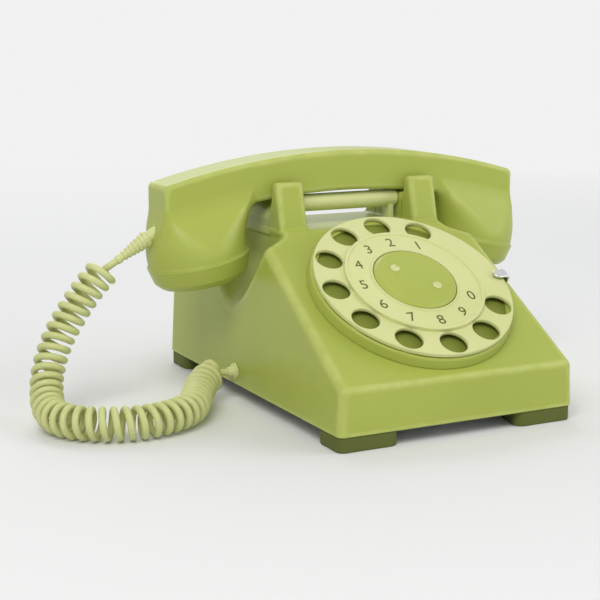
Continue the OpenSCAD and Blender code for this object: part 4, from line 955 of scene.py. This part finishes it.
# raised ring of numbers, with a lip on both sides
numbers = {"low": 0.02, "lip": 2.2, "innerLip": 2.0, "numeralR": 31.2, "numeralSize": 9.4,
           "numeralThick": 0.14, "numeralLift": 0.03}
inside, outside, flatHigh = dial["capR"] + 0.4, dial["numberR"], dial["numberThick"]
ringProfile = [[inside, numbers["low"], 0], [outside, numbers["low"], 0], [outside, numbers["lip"], 0.7],
               [outside - 1.6, numbers["lip"], 0.6], [outside - 2.3, flatHigh, 0.4],
               [inside + 1.5, flatHigh, 0.4], [inside + 1, numbers["innerLip"], 0.35],
               [inside, numbers["innerLip"], 0.3]]
addPiece("numberRing", latheMesh("numberRing", roundedOutline(ringProfile, 4), dialPlace(up=wheelTop), 128),
         "dial_wheel", ["number_ring"], "ivory_plastic")
numerals = []
for i, text in enumerate("1234567890"):
    a = math.radians(dial["firstHole"] + dial["holeStep"] * i)
    place = dialPlace(numbers["numeralR"] * math.cos(a), numbers["numeralR"] * math.sin(a),
                      wheelTop + flatHigh + numbers["numeralLift"])
    numerals.append(textMesh("numeral", text, numbers["numeralSize"], numbers["numeralThick"], place))
addPiece("numerals", joinMeshes("numerals", numerals), "dial_wheel", None, "dial_face", numeralInk, False)

# centre cap: a low crown inside a rounded rim
capProfile = [[0, 0.02, 0], [dial["capR"], 0.02, 0], [dial["capR"], 1.9, 0.9], [dial["capR"] - 2.2, 2.9, 1.2],
              [dial["capR"] - 4.2, 2.75, 0.8], [10, 3.35, 12], [0, 3.5, 0]]
addPiece("centreCap", latheMesh("centreCap", roundedOutline(capProfile, 5), dialPlace(up=wheelTop), 128),
         "dial_wheel", ["centre_cap"], "body_plastic")

# cap screws, each at (x, y) with its slot turned by an angle
screw = {"r": 2.6, "high": 1.3, "slotHalf": 0.7, "slotWall": 0.25, "slotDeep": 0.55, "seat": 3.0, "steps": 40,
         "each": ((-9, 8, 0.5), (9, -8, 1.9))}


def screwMesh(name, place, slotTurn):
    # slotted head as a height map on rings and spokes: a low dome, sunk where the slot runs across it
    a = np.arange(screw["steps"]) * fullTurn / screw["steps"]
    share = np.linspace(0.12, 0.86, 9)
    radii = np.concatenate([share, [0.93, 0.98, 1.0, 1.0, 0.94, 0.4]]) * screw["r"]
    heights = np.concatenate([1 - 0.22 * share ** 2, [0.74, 0.6, 0.42, 0, 0, 0]])[:, None] * screw["high"]
    x, y = radii[:, None] * np.cos(a), radii[:, None] * np.sin(a)
    across = np.abs(-x * math.sin(slotTurn) + y * math.cos(slotTurn))
    sunk = np.clip((screw["slotHalf"] - across) / screw["slotWall"], 0, 1) * (heights > 0.1)
    z = heights - sunk * screw["high"] * screw["slotDeep"]
    return ringsMesh(name, np.stack([x, y, z], -1), [[0, 0, z[0].mean()], [0, 0, 0]], place, 50)


capScrews = [screwMesh("capScrew", dialPlace(x, y, wheelTop + screw["seat"]), turn)
             for x, y, turn in screw["each"]]
addPiece("capScrews", joinMeshes("capScrews", capScrews, 50), "dial_wheel", ["cap_screws"], "ivory_plastic",
         weighted=False)


def ribbonMesh(name, path, widths, thick, place, around=20, squareness=0.35):
    # a rounded rectangle carried along a bent line, its width given at each point: p + c width + s thick
    t = unitRows(np.gradient(path, axis=0))
    out = np.stack([-t[:, 1], t[:, 0]], 1)
    b = np.arange(around) * fullTurn / around
    squared = lambda v: np.sign(v) * np.abs(v) ** squareness
    c, s = squared(np.cos(b)), squared(np.sin(b))
    rings = np.stack([path[:, :1] + out[:, :1] * s * thick / 2, widths[:, None] / 2 * c,
                      path[:, 1:] + out[:, 1:] * s * thick / 2], -1)
    return ringsMesh(name, rings, [[path[i, 0], 0, path[i, 1]] for i in (0, -1)], place, 50)


# finger stop: a bent strip from the surround, over the wheel's rim, with a round end
stop = {"at": math.radians(-2), "wide": 6, "thick": 1.25, "roundEnd": 3, "step": 0.5,
        "path": [[62.2, 0.6, 0], [57.9, 0.6, 1.1], [57.9, wheelTop + 2.0, 1.6], [49.2, wheelTop + 1.7, 0]]}
bentPath = roundedOutline(stop["path"], 8)
bentRun = runAlong(bentPath)
stopRun = np.linspace(0, bentRun[-1], int(bentRun[-1] / stop["step"]))
stopPath = np.stack([np.interp(stopRun, bentRun, bentPath[:, i]) for i in (0, 1)], 1)
endShare = np.minimum((stopRun[-1] - stopRun) / stop["roundEnd"], 1)
stopWidth = stop["wide"] * np.sqrt(np.clip(1 - (1 - endShare) ** 2, 0.02, 1))
stopMesh = ribbonMesh("fingerStop", stopPath, stopWidth, stop["thick"], dialPlace(turn=stop["at"]))
addPiece("fingerStop", stopMesh, "base", ["finger_stop"], "finger_stop_steel", weighted=False)
print("stage: dial made")

# lift bar: a rod between the saddles, with an arm down through each slot
bar = {"r": 5, "arm": 34, "armTop": 1, "armHalf": (1.5, 4), "armEdge": 0.4, "gap": 0.3, "touchIn": 2}
barZ = handset["under"] - archRate * (saddleIn - bar["touchIn"]) ** 2 - bar["gap"] - bar["r"]
barHalf = saddleIn - bar["gap"]
rodProfile = [[0, -barHalf, 0], [bar["r"], -barHalf, 1], [bar["r"], barHalf, 1], [0, barHalf, 0]]
parts = [latheMesh("rod", roundedOutline(rodProfile, 5), alongAxis((0, barY, barZ), (1, 0, 0)), 64)]
armX, armY = bar["armHalf"]
armLow, armHigh = barZ - bar["arm"], barZ - bar["armTop"]
armOutline = roundedOutline([[barY - armY, armLow, 1.6], [barY + armY, armLow, 1.6],
                             [barY + armY, armHigh, 0.5], [barY - armY, armHigh, 0.5]], 5)
for side in (-1, 1):
    parts.append(plateMesh("arm", [armOutline], side * slotX - armX, side * slotX + armX, bar["armEdge"],
                           lambda p: p[:, [2, 0, 1]], segments=2))
addPiece("liftBar", joinMeshes("liftBar", parts), "hook_bar", ["hook_bar"], "ivory_plastic")

# feet: a block in each corner, with a hole for its screw
foot = {"long": 36, "deep": 24, "in": 0.6, "high": 8, "slant": 6, "edge": 0.9, "holeR": 4.2, "holeAt": 0.62}
footOutline = roundedOutline([[0, 0, 4], [foot["long"], 0, 5],
                              [foot["long"] - foot["slant"], foot["deep"], 6], [0, foot["deep"], 5]], 8)
footHole = circleOutline(foot["long"] * foot["holeAt"], foot["deep"] * foot["holeAt"], foot["holeR"], 32)
feet = []
for sx in (-1, 1):
    for sy in (-1, 1):
        x, y = sx * (body["width"] / 2 - foot["in"]), sy * (body["depth"] / 2 - foot["in"])
        feet.append(plateMesh("foot", [footOutline, footHole], 0, foot["high"], foot["edge"],
                              lambda p: np.stack([x - sx * p[:, 0], y - sy * p[:, 1], p[:, 2]], 1)))
addPiece("rubberFeet", joinMeshes("rubberFeet", feet), "base", ["feet"], "foot_rubber")
print("stage: lift bar and feet made")

# nodes that keep their own shape
slotOf = {part["node"]: part["material_slot"] for part in frame["record"]["subparts"]}
for name, node in nodes.items():
    node.data.materials.clear()
    node.data.materials.append(finish[slotOf[name]])
print("stage: kept nodes finished")

# floor and world: the floor fades with distance into the pale backdrop that the world shows
backdrop = {"colour": (1, 1, 1, 1), "strength": 0.88, "fadeFrom": 0.42, "fadeTo": 1.5, "half": 4,
            "floor": (0.8, 0.8, 0.79, 1), "sky": (0.93, 0.96, 1, 1), "skyStrength": 0.42}


def seenRays(tree):
    # camera, glossy and transmission rays, to which the backdrop shows
    rays = addNode(tree, "ShaderNodeLightPath").outputs
    mirrored = combined(tree, "MAXIMUM", rays["Is Glossy Ray"], rays["Is Transmission Ray"])
    return combined(tree, "MAXIMUM", rays["Is Camera Ray"], mirrored)


shown = {"Color": backdrop["colour"], "Strength": backdrop["strength"]}
floorMesh = bpy.data.meshes.new("floor")
reach = backdrop["half"]
floorMesh.from_pydata([(-reach, -reach, 0), (reach, -reach, 0), (reach, reach, 0), (-reach, reach, 0)], [],
                      [(0, 1, 2, 3)])
floor = bpy.data.objects.new("floor", floorMesh)
scene.collection.objects.link(floor)
floorMaterial, tree, shader = startMaterial("floor", Base_Color=backdrop["floor"], Roughness=0.8,
                                            Specular_IOR_Level=0.1)
away = addNode(tree, "ShaderNodeVectorMath", {0: objectPlace(tree)}, operation="LENGTH").outputs["Value"]
fade = addNode(tree, "ShaderNodeMapRange",
               {0: away, 1: backdrop["fadeFrom"], 2: backdrop["fadeTo"], 3: 0, 4: 1},
               interpolation_type="SMOOTHSTEP").outputs[0]
glow = addNode(tree, "ShaderNodeEmission", shown).outputs[0]
floorMix = addNode(tree, "ShaderNodeMixShader",
                   {0: times(tree, fade, seenRays(tree)), 1: shader.outputs[0], 2: glow}).outputs[0]
tree.links.new(floorMix, tree.nodes["Material Output"].inputs["Surface"])
floorMesh.materials.append(floorMaterial)

world = bpy.data.worlds.new("world")
scene.world = world
world.use_nodes = True
tree = world.node_tree
tree.nodes.clear()
sky = {"Color": backdrop["sky"], "Strength": backdrop["skyStrength"]}
lit = addNode(tree, "ShaderNodeBackground", sky).outputs[0]
behind = addNode(tree, "ShaderNodeBackground", shown).outputs[0]
mix = addNode(tree, "ShaderNodeMixShader", {0: seenRays(tree), 1: lit, 2: behind}).outputs[0]
addNode(tree, "ShaderNodeOutputWorld", {"Surface": mix})

# lamps: name, place in metres, size, power and colour, each aimed at the telephone's middle
lamps = (("key", (-0.9, -1.1, 1.5), 1.1, 22, (1, 0.98, 0.95)),
         ("fill", (1.3, -0.9, 0.9), 1.3, 9, (0.95, 0.97, 1)),
         ("back", (0.2, 1.4, 1.3), 1.2, 12, (1, 1, 1)))
aim = Vector((0, 0, 0.06))
for name, at, size, power, colour in lamps:
    lampData = bpy.data.lights.new(name, "AREA")
    lampData.size = size
    lampData.energy = power
    lampData.color = colour
    lamp = bpy.data.objects.new(name, lampData)
    lamp.location = at
    lamp.rotation_euler = (aim - Vector(at)).to_track_quat("-Z", "Y").to_euler()
    scene.collection.objects.link(lamp)
scene.view_settings.view_transform = "Standard"
print("stage: floor and light made")
